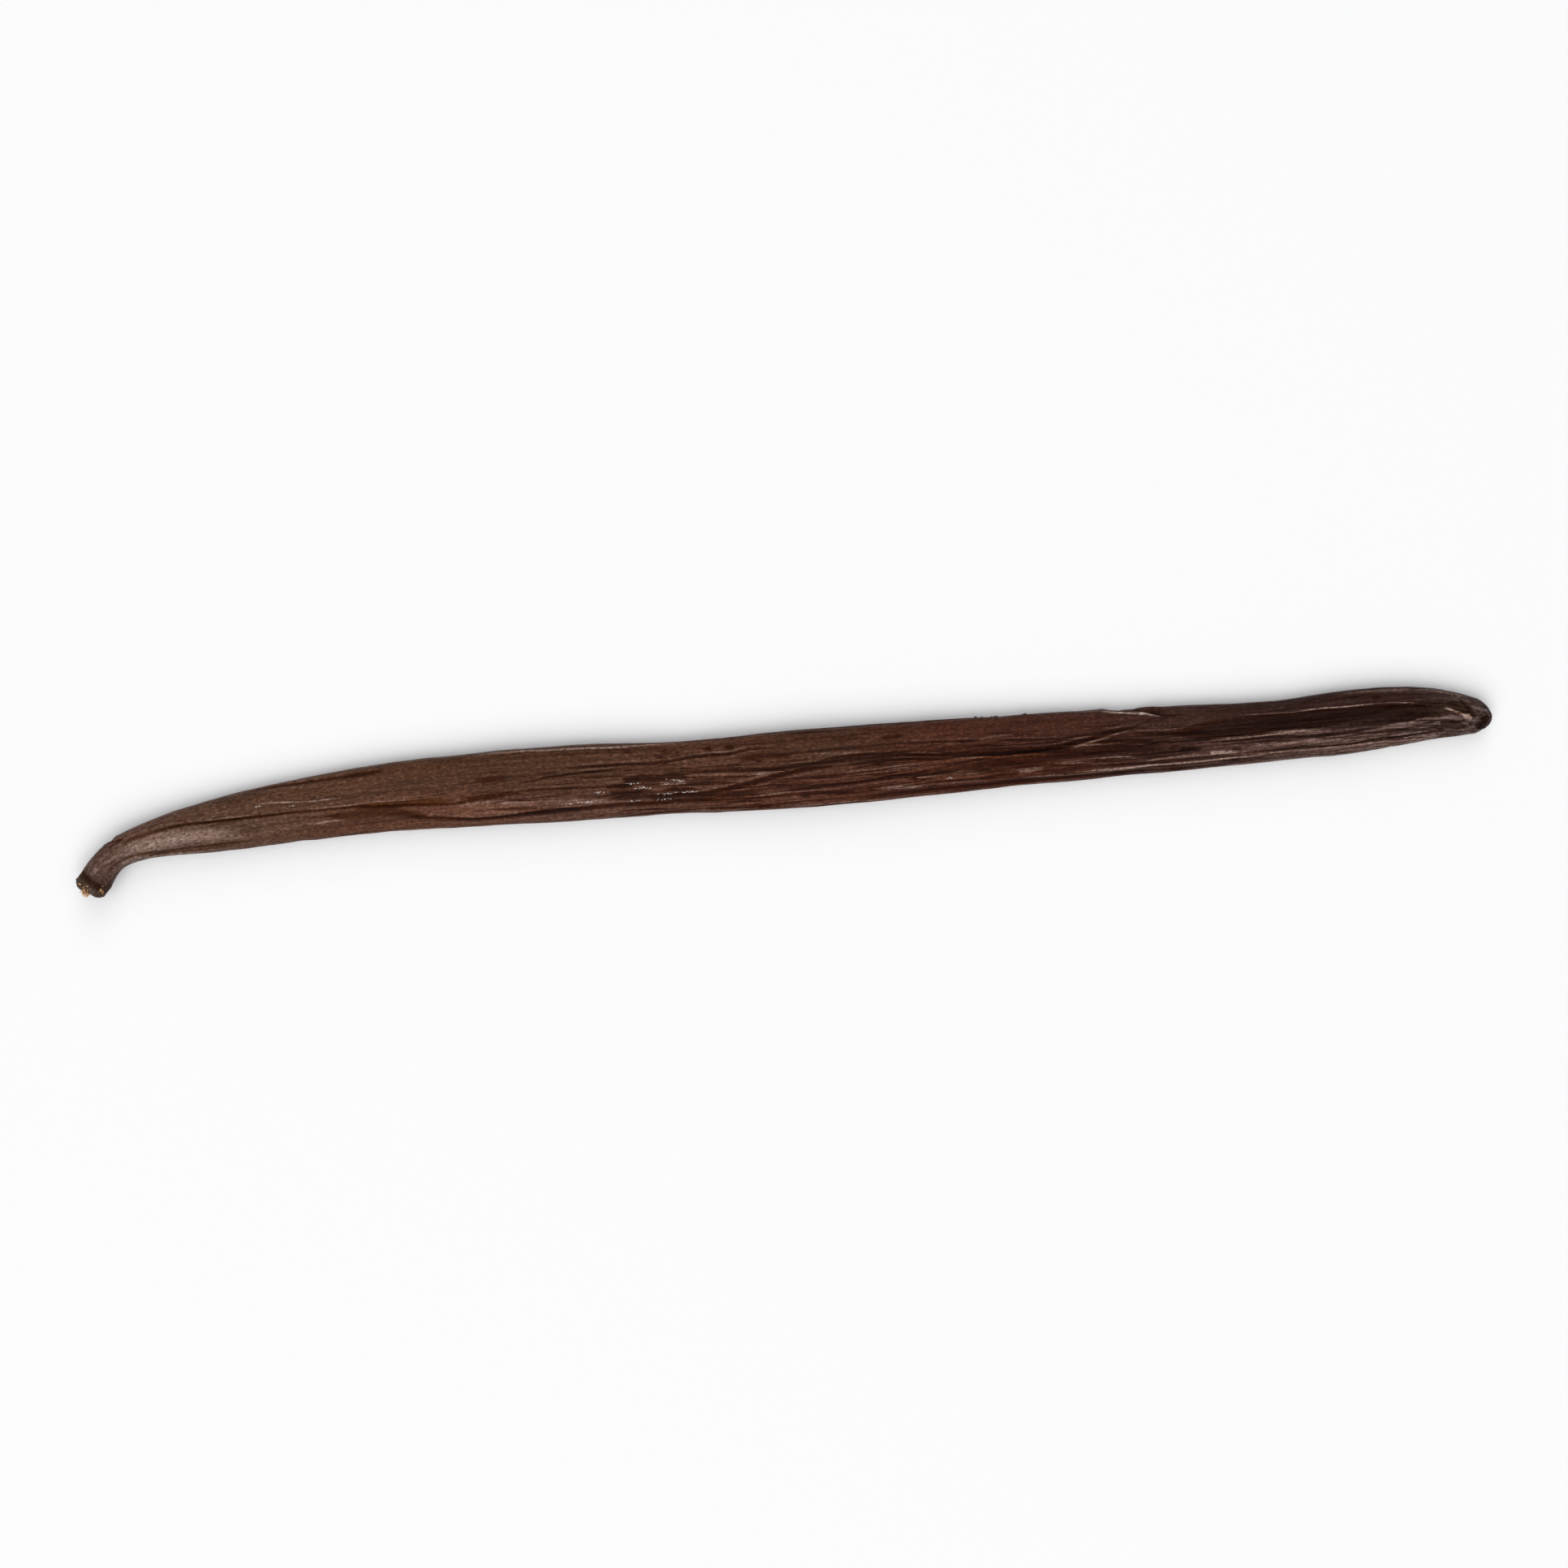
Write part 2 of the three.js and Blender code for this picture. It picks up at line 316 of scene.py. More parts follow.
# %% Creases of the pinch and the second half
CREASES += [
    # the pinch, where the pod narrows and buckles
    (0.15, 0.24, 1.15, [(65.5, 0.0), (68, 0.2), (70, 0.15), (71.5, 0.35), (73.5, 0.2)], 1),
    (0.1, 0.24, 0.95, [(63.8, -0.45), (65.2, -0.55), (66.9, -0.45)], 0.5),
    (0.1, 0.24, 1.05, [(64.2, -1.2), (65.6, -1.4), (68.0, -1.3)], 0.5),
    (0.1, 0.18, 0.75, [(64.0, -1.95), (65.4, -2.0), (67.4, -2.0)], 0.5),
    (0.1, 0.13, 0.55, [(67.2, -1.35), (68.2, -1.2), (69.2, -1.3)], 0.5),
    (0.1, 0.18, 1.05, [(70.6, -1.2), (71.5, -1.15), (72.2, -1.0)], 0.4),
    (0.1, 0.14, 0.7, [(72.6, -1.35), (73.4, -1.3), (74.3, -1.4)], 0.4),
    (0.08, 0.2, 0.6, [(65.6, 0.35), (66.6, 0.3), (68.4, 0.62)], 0.4),
    (0.08, 0.3, 0.2, [(70.8, 3.7), (70.6, 2.7), (70.8, 1.5)], 1),
    # the second half of the body
    (0.26, 0.2, 1.08, [(66, -1.75), (70, -1.95), (75, -1.9), (78, -1.5), (80, -1.2), (83, -0.55),
        (86.5, -0.05), (88.5, 0.15), (91.5, 0.1)]),
    (0.16, 0.17, 0.92, [(72, 0.7), (79, 0.6), (84, 0.4), (88, 0.7), (92, 0.95), (95, 1.08), (98, 0.88),
        (101, 0.6), (105, 0.25), (109, 0.0), (114, -0.2), (119, -0.3)]),
    (0.1, 0.11, 0.75, [(88, 0.85), (91, 1.2), (93, 1.35), (96, 1.15)]),
    (0.12, 0.11, 0.75, [(91.5, 0.05), (94, 0.27), (96, 0.4), (98.5, 0.3), (101, 0.08), (104, -0.1)]),
    (0.08, 0.1, 0.45, [(82, -1.0), (85, -1.3), (88, -1.4)]),
    (0.14, 0.15, 0.9, [(84, -2.2), (88, -2.15), (91, -2.1), (94, -1.9), (97, -1.72), (100, -1.55)]),
    (0.1, 0.12, 0.7, [(96, -1.5), (100, -1.5), (102.5, -1.2), (105, -0.95)]),
    (0.08, 0.11, 0.65, [(102.5, -0.7), (105, -0.8), (107, -0.55), (110, -0.4)]),
    (0.1, 0.11, 0.7, [(86, 2.15), (92, 2.15), (98, 2.1), (102, 2.0), (105, 1.82), (108, 1.7)]),
    (0.12, 0.14, 0.6, [(104.8, 1.85), (106.2, 1.8), (107.6, 1.72)], 0.6),
    (0.12, 0.16, 0.5, [(76, -3.0), (79, -3.15), (82, -2.85), (86, -2.85), (91, -2.9)]),
    (0.08, 0.09, 0.5, [(69, -3.9), (76, -3.85), (84, -3.8), (92, -3.6)]),
]
print(len(CREASES), "creases so far")

# %% Creases of the fold, the channel and the tip
CREASES += [
    # towards the fold
    (0.16, 0.36, 0.8, [(103, -1.0), (107, -1.2), (111, -1.3), (116, -1.05), (120, -0.9), (124, -0.75),
        (129, -0.7)]),
    (0.14, 0.11, 0.75, [(108, 1.75), (112, 1.42), (114, 1.2), (117, 1.1), (119, 1.3), (122, 1.4),
        (124, 1.65), (126, 2.0), (128.6, 2.9)]),
    (0.2, 0.2, 0.95, [(107, 0.1), (110, 0.0), (113, -0.02), (115.5, 0.0), (117.5, 0.25), (119.5, 0.62),
        (121.5, 1.1), (123.5, 1.5), (125.5, 1.8)]),
    (0.1, 0.16, 0.75, [(121, 0.4), (123, 0.42), (125, 0.25), (128, 0.1)], 1),
    (0.1, 0.12, 0.5, [(110, -1.85), (115, -1.95), (118, -2.1), (121, -2.3)]),
    (0.1, 0.14, 0.5, [(113, -2.5), (117, -2.6), (122, -2.5)]),
    (0.12, 0.12, 0.6, [(122, -2.7), (126, -2.55), (130, -2.42), (134, -2.35), (137, -2.5)]),
    (0.1, 0.11, 0.65, [(123, -1.25), (127, -1.5), (131, -1.35), (134, -1.1)]),
    (0.12, 0.26, 0.9, [(130.8, -1.3), (132, -1.25), (133.6, -1.35)], 0.6),
    # a dark band along the -Y edge: painted shade, and from 94 to about 104 mm a painted shadow
    (0.14, 0.3, 0.8, [(94, -3.75), (100, -3.65), (106, -3.6), (113, -3.55), (120, -3.55), (128, -3.4)]),
    (0.2, 0.22, 0.7, [(125.5, 1.15), (128, 0.98), (130.5, 0.72), (133, 0.8), (136, 0.9)]),
    # small wrinkles below the channel
    (0.16, 0.13, 1.0, [(134, -0.7), (139, -0.55), (142, -0.6), (145, -0.85), (148, -1.05), (151, -1.15),
        (154, -1.45), (158, -1.6)]),
    (0.14, 0.11, 0.95, [(138, -2.05), (141, -2.15), (145, -2.15), (148, -2.38), (153, -2.45), (158, -2.3),
        (162, -2.0)]),
    (0.1, 0.18, 0.6, [(137.0, -1.65), (138.2, -1.6)], 0.4),
    (0.08, 0.1, 0.45, [(145, -1.5), (149, -1.6), (152, -1.9), (156, -2.0)]),
    (0.08, 0.1, 0.5, [(139, -0.95), (143, -1.05), (146, -1.3)]),
    (0.12, 0.1, 0.6, [(150, -0.95), (153, -1.1), (156, -1.3), (159, -1.7), (163, -1.35)]),
    (0.1, 0.22, 0.6, [(155.0, -1.6), (156.4, -1.65), (157.8, -1.5)], 0.6),
    # the pucker round the tip
    (0.2, 0.2, 0.6, [(163.8, 1.8), (164.9, 1.0), (165.4, 0.3), (166.0, -0.2)], 0.5),
    (0.14, 0.13, 0.55, [(162.8, -0.9), (164.0, -0.75), (165.2, -0.45)], 0.5),
    (0.14, 0.13, 0.55, [(163.2, 1.2), (165.0, 0.95), (166.6, 0.6)], 0.5),
    (0.12, 0.12, 0.5, [(163.6, -1.75), (164.8, -1.3), (165.8, -0.9)], 0.5),
    (0.1, 0.3, 0.5, [(158.5, 1.3), (161.5, 1.2), (164.0, 0.75), (165.4, 0.35)], 1),
    (0.1, 0.25, 0.55, [(161.5, -0.75), (163.0, -0.85), (164.2, -0.95)], 0.6),
    (0.08, 0.2, 0.45, [(155.0, -2.5), (159.0, -2.25), (162.5, -1.75)], 1),
]
print(len(CREASES), "creases show from above")

# %% [markdown]
# ## Ridges, and the channel towards the tip
#
# Where the skin is pushed up between two creases, it is stretched thin and rubbed dry, so a ridge is paler
# and greyer than the rest, and that pale grey also carries a painted sheen. It is written like a crease,
# with a negative depth and a negative shade.
# Towards the tip the pod has sunk in along one side. That channel is one broad crease, and its half width
# has keys of its own.

# %% The channel
CHANNEL = {
    "depth": 0.6,
    # its shade is partly the dark oily skin of the channel, and partly painted shade where it is sunk
    "shade": 0.47,
    "path": [(130, 0.75), (134, 0.85), (138, 1.02), (143, 1.17), (147, 1.0), (150, 0.65), (154, 0.4),
        (157, 0.4), (160, 0.4), (164, 0.3)],
    "width": [(130, 0.3), (134, 0.85), (138, 1.1), (143, 1.05), (147, 1.15), (151, 1.4), (155, 1.3),
        (159, 0.85), (164, 0.45)],
}
print("the channel runs from", CHANNEL["path"][0][0], "to", CHANNEL["path"][-1][0], "mm along")

# %% Ridges of the stem and the body
RIDGES = [  # written like CREASES
    # the stem: a scar at the neck, its flat facet with a painted sheen, and thin bright lines with painted
    # highlights
    (-0.08, 0.2, -0.5, [(2, 0.8), (3.2, 0.5), (4.5, 0.0), (6.5, -0.15)]),
    (-0.1, 0.75, -0.55, [(6, -0.15), (8, -0.25), (10, -0.3), (13, -0.4), (17, -0.8), (21, -1.2)]),
    (-0.05, 0.08, -0.4, [(15.5, 1.05), (18.5, 0.82), (22, 0.55)]),
    (-0.06, 0.09, -0.6, [(23, 1.65), (25, 1.5), (27, 1.25), (29, 1.0), (33, 0.85)]),
    (-0.05, 0.09, -0.4, [(29, 0.05), (34, -0.1), (38, -0.2), (42, -0.38)]),
    (-0.06, 0.12, -0.55, [(28, -1.5), (31, -1.68), (33.5, -1.8)]),
    # the body
    (-0.05, 0.25, -0.3, [(46, -1.6), (50, -1.5), (53, -1.8), (56, -2.0)]),
    (-0.05, 0.3, -0.45, [(56.5, -1.8), (60, -2.0), (64, -2.1)], 2),
    (-0.05, 0.3, -0.55, [(69.8, -0.6), (71.5, -0.6), (73.4, -0.45)], 0.6),
    (-0.05, 0.1, -0.25, [(73.5, 0.42), (76, 0.36), (78, 0.25)], 1),
    (-0.05, 0.1, -0.35, [(75, 2.85), (78, 2.78), (80.5, 3.05)], 1),
    (-0.05, 0.3, -0.45, [(80.6, -0.05), (81.6, -0.02), (82.6, -0.1)], 0.6),
    (-0.05, 0.09, -0.4, [(77, -2.85), (79.5, -2.8), (82, -2.6), (85.5, -2.4)]),
    (-0.05, 0.12, -0.2, [(88, 1.75), (91, 1.65), (94, 1.5)]),
    (-0.04, 0.42, -0.3, [(91.5, -0.6), (95, -0.8), (98, -0.6), (101, -0.45)], 3),
    (-0.04, 0.3, -0.4, [(95.5, -2.9), (98, -3.0), (100.5, -3.2)], 1.5),
    (-0.06, 0.1, -0.85, [(98.8, 0.95), (100.5, 0.85), (103, 0.62)], 1),
    (-0.04, 0.12, -0.35, [(99.5, -2.05), (101.5, -1.95), (104, -1.8)], 1),
    (-0.05, 0.28, -0.4, [(103.8, -1.8), (105.5, -1.9), (107.2, -2.0)], 1),
    (-0.04, 0.12, -0.2, [(103.5, -0.3), (106, -0.2), (109, -0.2)], 1),
    (-0.06, 0.1, -0.2, [(107.5, 1.85), (109.5, 2.05), (111.5, 2.1)], 1),
]
print(len(RIDGES), "ridges so far")

# %% Ridges of the fold, the channel and the tip
RIDGES += [
    # towards the fold
    (-0.05, 0.28, -0.45, [(111.8, -2.3), (113.2, -2.3), (115, -2.25)], 1),
    (-0.05, 0.28, -0.32, [(116, -1.8), (119, -1.65), (122, -1.5), (126, -1.7)], 2),
    (-0.06, 0.1, -0.45, [(116.5, 0.72), (119, 0.95), (121, 1.15)], 1),
    (-0.08, 0.12, -0.6, [(118.3, 0.05), (120.3, 0.42), (122, 0.8), (124, 1.3), (125.7, 1.55)], 1.5),
    (-0.05, 0.1, -0.4, [(121.5, -0.1), (124, -0.15), (127, -0.25)], 1),
    (-0.05, 0.1, -0.4, [(118, -0.05), (120, 0.08), (122, 0.1)], 1),
    (-0.07, 0.13, -0.4, [(125.5, 1.5), (127.5, 1.25), (130, 1.2)], 1),
    # the bright strip by the fold at the +Y edge is a painted highlight
    (-0.1, 0.17, -1.25, [(122, 3.85), (124, 3.65), (126.5, 3.35), (128.9, 2.9)], 2),
    (-0.05, 0.14, -0.4, [(126.5, -2.15), (129.5, -2.05), (132, -2.0)], 1),
    (-0.09, 0.12, -0.9, [(112, -3.15), (117, -3.1), (122, -2.98), (127, -2.85), (134, -2.68), (140, -2.5),
        (146, -2.52), (155, -2.62), (162, -2.2)]),
    (-0.05, 0.09, -0.5, [(114, -3.3), (119, -3.25), (124, -3.15), (130, -3.0)]),
    # round the channel
    (-0.14, 0.22, 0.0, [(132, 1.6), (135, 2.05), (141, 2.3), (147, 2.2), (153, 1.9), (157, 1.5), (162, 1.0)]),
    (-0.05, 0.08, -0.45, [(138, 2.28), (141, 2.22), (144, 2.15), (147, 2.16), (150, 1.98), (153, 1.88),
        (156, 1.75), (158, 1.5), (162, 1.0)], 4),
    (0.0, 0.08, -0.6, [(145, 2.18), (148, 2.13), (150, 1.98), (154, 1.86)], 2),
    (-0.1, 0.2, -0.65, [(134, -0.1), (137, -0.3), (140, -0.2), (142, -0.08), (146, -0.25), (149, -0.6)]),
    # a painted highlight patch on the lower flank
    (-0.1, 0.2, -0.95, [(134.1, -1.8), (135.4, -1.83), (136.6, -1.9), (137.6, -2.02)], 1.0),
    (-0.04, 0.12, -0.4, [(134.3, -2.0), (135.2, -1.95), (136.1, -2.08)], 0.5),
    (-0.06, 0.35, -0.4, [(139, -1.5), (143, -1.45), (147, -1.6), (151, -1.75)], 3),
    (-0.08, 0.17, -0.55, [(152.5, -0.95), (155, -0.95), (157.5, -0.75), (160, -0.45), (164, -0.25)]),
    (-0.06, 0.14, -0.4, [(149, -1.0), (152, -1.25), (156, -1.15)]),
    (-0.05, 0.12, -0.3, [(150, -2.15), (156, -2.05), (161, -1.9)]),
    (-0.05, 0.35, -0.3, [(140, -2.95), (150, -3.1), (158, -2.95), (164, -2.2)]),
    # the tip, with a painted highlight on its bright tick
    (-0.14, 0.17, -1.25, [(162.0, 0.86), (163.2, 0.42), (164.3, 0.1), (165.3, 0.1)], 0.6),
    (-0.1, 0.26, -0.85, [(164.3, 0.0), (164.8, -0.2), (165.4, 0.05)], 0.3),
    (-0.08, 0.4, -0.35, [(164.4, -0.5), (165.0, -0.7), (165.4, -1.1)], 0.4),
]
print(len(RIDGES), "ridges in all")

# %% [markdown]
# ## Stains and oily spots
#
# Some marks have colour but hardly any relief. Where the skin is thin, light comes back through it and it
# looks warm. Where oil has gathered, it is dark. They are drawn on the same chart as the creases, because
# then one rule in Geometry Nodes serves them all.

# %% Stains and oily spots
STAIN_DEPTH = 0.03
STAINS = [  # (warmth, half width, shade, path), and for some the length of their fade
    (1.3, 0.4, 0.2, [(34, -0.4), (38, -0.6), (41, -0.75), (43.5, -0.8), (46, -1.0)], 3),
    (1.3, 0.5, 0.25, [(30.5, -1.1), (33, -1.3), (37, -1.4), (39, -1.65), (41, -2.15), (43, -2.7)], 3),
    (0.8, 0.3, 0.15, [(46, -0.8), (50, -0.65), (53, -0.4)], 2),
    (0.9, 0.38, 0.35, [(47.8, 1.15), (50, 1.2), (52.5, 1.3)], 1.2),
    (0.8, 0.28, 0.3, [(53, -3.0), (57, -3.1), (61, -3.0)], 2),
    (0.2, 0.35, 0.3, [(33.5, 3.3), (36, 3.35), (38.5, 3.4)], 1),
    (0.5, 0.45, 0.38, [(73, -2.55), (76, -2.6), (79, -2.4), (82, -2.1)], 2),
    (0.5, 0.38, 0.45, [(79, 1.7), (81, 1.95), (83.5, 1.95), (86, 1.75)], 1.2),
    (0.4, 0.8, 0.15, [(94, 0.5), (104, 0.1), (112, -0.3), (122, -0.4), (130, -0.9)]),
    # dark oily spots
    (0.3, 0.3, 0.3, [(65.6, 3.4), (66.4, 3.45), (67.2, 3.3)], 0.5),
    (0.3, 0.25, 0.3, [(67.5, 2.7), (68.3, 2.6)], 0.4),
    (0.3, 0.25, 0.3, [(69.4, 2.7), (70.6, 2.5)], 0.4),
    (0.3, 0.28, 0.65, [(75.2, 3.3), (76.4, 3.3)], 0.4),
    (0.3, 0.28, 0.65, [(77.8, 3.2), (79.0, 3.25)], 0.4),
    (0.3, 0.9, 0.16, [(64.5, -0.9), (68, -0.6), (71.5, -0.7), (74, -1.3)], 1.5),
    (0.2, 0.24, 0.9, [(69.1, -2.95), (69.7, -2.95)], 0.2),
    (0.2, 0.28, 0.85, [(86, -3.0), (87.4, -3.05)], 0.4),
    (0.2, 0.24, 1.0, [(94.4, -2.85), (95.0, -2.85)], 0.2),
    (0.2, 0.22, 0.4, [(103, -2.7), (104, -2.7)], 0.3),
    (0.3, 0.28, 0.45, [(107.2, -2.75), (110, -2.58), (112.2, -2.65)], 0.8),
    (0.3, 0.26, 0.45, [(96.3, 3.0), (99, 3.0)], 0.8),
    (0.1, 0.5, 0.22, [(122.5, 0.75), (126, 0.7), (130, 0.6)], 1.5),
    (0.1, 0.6, 0.18, [(126, -0.9), (129, -0.9), (133.5, -0.9)], 1.5),
    (0.1, 0.28, 0.45, [(153.8, 2.6), (154.9, 2.55)], 0.4),
    # the dark rim of the cut, and the crust of the tip
    (0.0, 0.9, 0.3, [(1.1, 2.2), (1.0, 0.8), (1.1, -0.6), (1.5, -2.0)], 0.3),
    (0.0, 0.5, 1.15, [(166.5, 0.3), (167.0, -0.3), (166.6, -0.9), (166.1, -1.5)], 0.3),
    (0.1, 0.36, 0.5, [(161.4, -1.2), (163.0, -1.35), (165.0, -1.25)], 0.6),
    (0.1, 0.4, 0.4, [(162.4, 1.4), (164.0, 1.1), (165.4, 0.6)], 0.6),
]
print(len(STAINS), "stains and spots")

# %% [markdown]
# ## Creases that come over an edge
#
# At its two edges the skin turns steeply down, so how far across a place is says little there. A crease
# near an edge is placed instead by its share of the way from the top line to the seam underneath, with the
# edge at about 0.5. The deep fold towards the tip is one of these. So are the pale rims of the edges,
# which are painted highlights.

# %% Creases at the edges
EDGE_CREASES = [  # (side, (depth, half width, shade), path of (along, share)), where side 1 is +Y
    (1, (0.75, 0.36, 0.5), [(120, 0.62), (124, 0.55), (126.5, 0.47), (128, 0.39), (130.5, 0.3)]),
    (1, (0.35, 0.8, 0.0), [(122.5, 0.5), (125.5, 0.46), (128, 0.42)]),
    (1, (0.3, 0.25, 0.6), [(5.6, 0.6), (6.0, 0.45), (6.7, 0.33)]),
    (1, (0.14, 0.16, 0.5), [(88, 0.5), (98, 0.46), (108, 0.47), (117, 0.52)]),
    (-1, (0.14, 0.16, 0.5), [(26, 0.44), (40, 0.47), (54, 0.52)]),
    (-1, (0.16, 0.16, 0.55), [(86, 0.43), (98, 0.47), (110, 0.5), (124, 0.52)]),
    # pale rims: painted highlights where an edge catches the light
    (1, (-0.12, 0.13, -0.95), [(48, 0.42), (58, 0.39), (66, 0.39), (73, 0.44)]),
    (1, (-0.03, 0.22, -0.35), [(150, 0.4), (158, 0.38), (165, 0.36)]),
    (-1, (-0.07, 0.14, -0.6), [(70, 0.4), (80, 0.39), (90, 0.4), (98, 0.42)]),
]
print(len(EDGE_CREASES), "creases at the edges")

# %% [markdown]
# ## Creases where nobody looks
#
# The flanks and the underside need creases too, because a part is seen from every side. Nobody would
# pick them by hand. They are spread by rule: spaced evenly round, and their starts and lengths scattered
# by the golden ratio, which spreads numbers evenly without ever repeating.

# %% Creases that are spread by rule
GOLDEN = (math.sqrt(5) - 1) / 2
HIDDEN_COUNT = 28
HIDDEN_JUMP = 5  # one crease and the next are this many places apart round the pod
HIDDEN_SHARES = (0.5, 0.93)  # from the edge almost to the seam
HIDDEN_LENGTHS = (26, 74)
HIDDEN_SWAY = 0.05
HIDDEN_LOOK = (0.2, 0.2, 0.55)  # depth, half width, shade
CLEAR_OF_ENDS = 6


def scattered(k, shift=0.0):
    """The k-th of many numbers from 0 to 1 that never crowd."""
    return (k * GOLDEN + shift) % 1


def hidden_creases():
    """Creases of the flanks and the underside, written like those at the edges."""
    nearest, farthest = HIDDEN_SHARES
    shortest, longest = HIDDEN_LENGTHS
    for k in range(HIDDEN_COUNT):
        side = 1 if k % 2 else -1
        share = nearest + (farthest - nearest) * (k * HIDDEN_JUMP % HIDDEN_COUNT / HIDDEN_COUNT)
        length = shortest + (longest - shortest) * scattered(k, 0.35)
        begin = CLEAR_OF_ENDS + (LENGTH - 2 * CLEAR_OF_ENDS - length) * scattered(k)
        lean = HIDDEN_SWAY * (2 * scattered(k, 0.7) - 1)
        shares = (share - lean, share + lean / 2, share - lean / 3)
        yield side, HIDDEN_LOOK, [(begin + length * i / 2, shares[i]) for i in range(3)]


print("the underside gets", len(list(hidden_creases())), "creases")

# %% [markdown]
# ## The crease chart
#
# All the paths become one mesh that is nothing but points and edges, lying flat at (along, girth). It is
# never rendered. Each of its points says what its crease does there, so Geometry Nodes can look up the
# nearest point of a crease from any place on the skin. Every crease fades at both ends, because one that
# stops at once looks cut with a knife, and wanders a little, because skin never folds in a smooth line.

# %% How a path is drawn
SAMPLE = 0.35  # a path is drawn with a point every so many mm,
FEWEST_SAMPLES = 6  # but with at least so many
FADE = 6.0  # a crease grows from nothing to its full depth over this many mm,
FADE_SHARE = 0.3  # or over this share of its length if that is less
WOBBLE = {"sway": 0.03, "long": 2.9, "short": 1.15}  # mm aside, and mm along for a radian of its waves
SHARE_SCALE = 12  # makes a share of the half girth about as large as the mm it stands for
SHARPNESS = {"crease": 1.3, "ridge": 2.0, "stain": 2.5, "channel": 4.5}  # 1 is a V, 2 a bell, more a box
LIP = 0.22  # height of the lips beside a crease, as a share of its depth
CHANNEL_LIP = 0.06
CHANNEL_FADE = 5


def samples(path):
    """Places a little apart on a smooth curve through the path: their along, and their other number."""
    path = np.array(path, float)
    run = np.append(0, np.hypot(*np.diff(path, axis=0).T).cumsum())
    at = np.linspace(0, run[-1], max(FEWEST_SAMPLES, round(run[-1] / SAMPLE)))
    return [keyed(np.column_stack([run, values]), at) for values in path.T]


def girth_of_across(along, across):
    """The girth of the place on top of the pod that lies this far across."""
    found = []
    for s, a, girth in zip(along, across, girths(along)):
        widths, _ = section(s, LOOP[ON_TOP])
        found.append(np.interp(-a, -widths, girth[ON_TOP]))
    return np.array(found)


def add_line(points, edges, along, girth):
    """Adds a line to a chart: points at (along, girth), and the edges between them."""
    first = len(points)
    points.extend(np.column_stack([along, girth, 0 * along]).tolist())
    edges.extend((first + i, first + i + 1) for i in range(len(along) - 1))


print("a path of 10 mm is drawn with", len(samples([(0, 0), (10, 0)])[0]), "points")

# %% Draw one crease
chart_points, chart_edges, chart_marks, chart_reach, chart_number = [], [], [], [], []


def draw(along, girth, depth, width, shade, fade=None, warmth=0.0, sharpness=SHARPNESS["crease"], lip=LIP):
    """Adds one crease to the chart."""
    number = chart_number[-1] + 1 if chart_number else 0
    run = np.append(0, np.hypot(np.diff(along), np.diff(girth)).cumsum())
    ease = np.minimum(run, run[-1] - run) / (fade or min(FADE, FADE_SHARE * run[-1]))
    ease = np.clip(ease, 0, 1)
    ease = ease * (2 - ease)
    wobble = np.sin(along / WOBBLE["long"] + number) + np.sin(along / WOBBLE["short"] + 2 * number)
    add_line(chart_points, chart_edges, along, girth + WOBBLE["sway"] * wobble * ease)
    chart_marks.extend(np.column_stack([depth * ease, shade * ease, warmth * ease]).tolist())
    chart_reach.extend(np.column_stack([width + 0 * along, sharpness + 0 * along, lip + 0 * along]).tolist())
    chart_number.extend([number] * len(along))


def draw_from_above(path, depth, width, shade, *fade, **look):
    """Draws a crease whose path is seen from above. Its half width is a number, or keys along the pod."""
    along, across = samples(path)
    width = keyed(width, along) if isinstance(width, list) else width
    draw(along, girth_of_across(along, across), depth, width, shade, *fade, **look)


print("a crease can be drawn from its girths, or from how it is seen from above")

# %% Draw the chart
for depth, width, shade, path, *fade in CREASES + RIDGES:
    cut = SHARPNESS["crease" if depth > 0 else "ridge"]
    draw_from_above(path, depth, width, shade, *fade, sharpness=cut)
for warmth, width, shade, path, *fade in STAINS:
    cut = SHARPNESS["stain"]
    draw_from_above(path, STAIN_DEPTH, width, shade, *fade, warmth=warmth, sharpness=cut, lip=0)
draw_from_above(**CHANNEL, fade=CHANNEL_FADE, sharpness=SHARPNESS["channel"], lip=CHANNEL_LIP)
for side, look, path in EDGE_CREASES + list(hidden_creases()):
    along, shares = samples([(place, share * SHARE_SCALE) for place, share in path])
    draw(along, side * shares / SHARE_SCALE * girths(along)[:, 0], *look)

crease_chart = mesh_object("crease_chart", chart_points, chart_edges, [])
keep_vectors(crease_chart, "marks", chart_marks)  # depth, shade, warmth
keep_vectors(crease_chart, "reach", chart_reach)  # half width, sharpness, height of the lips
numbers = crease_chart.data.attributes.new("number", "INT", "POINT")
numbers.data.foreach_set("value", chart_number)
CREASE_COUNT = chart_number[-1] + 1
print(CREASE_COUNT, "creases on the chart,", len(chart_points), "points")

# %% [markdown]
# ## A shorthand for nodes
#
# Node trees that are built in a script get long, because every sum is a node and two links. A small
# class fixes that: a `Field` stands for what comes out of a node, and adding or multiplying Fields makes
# the Math nodes. The same class serves geometry and materials, since both use the same Math node.


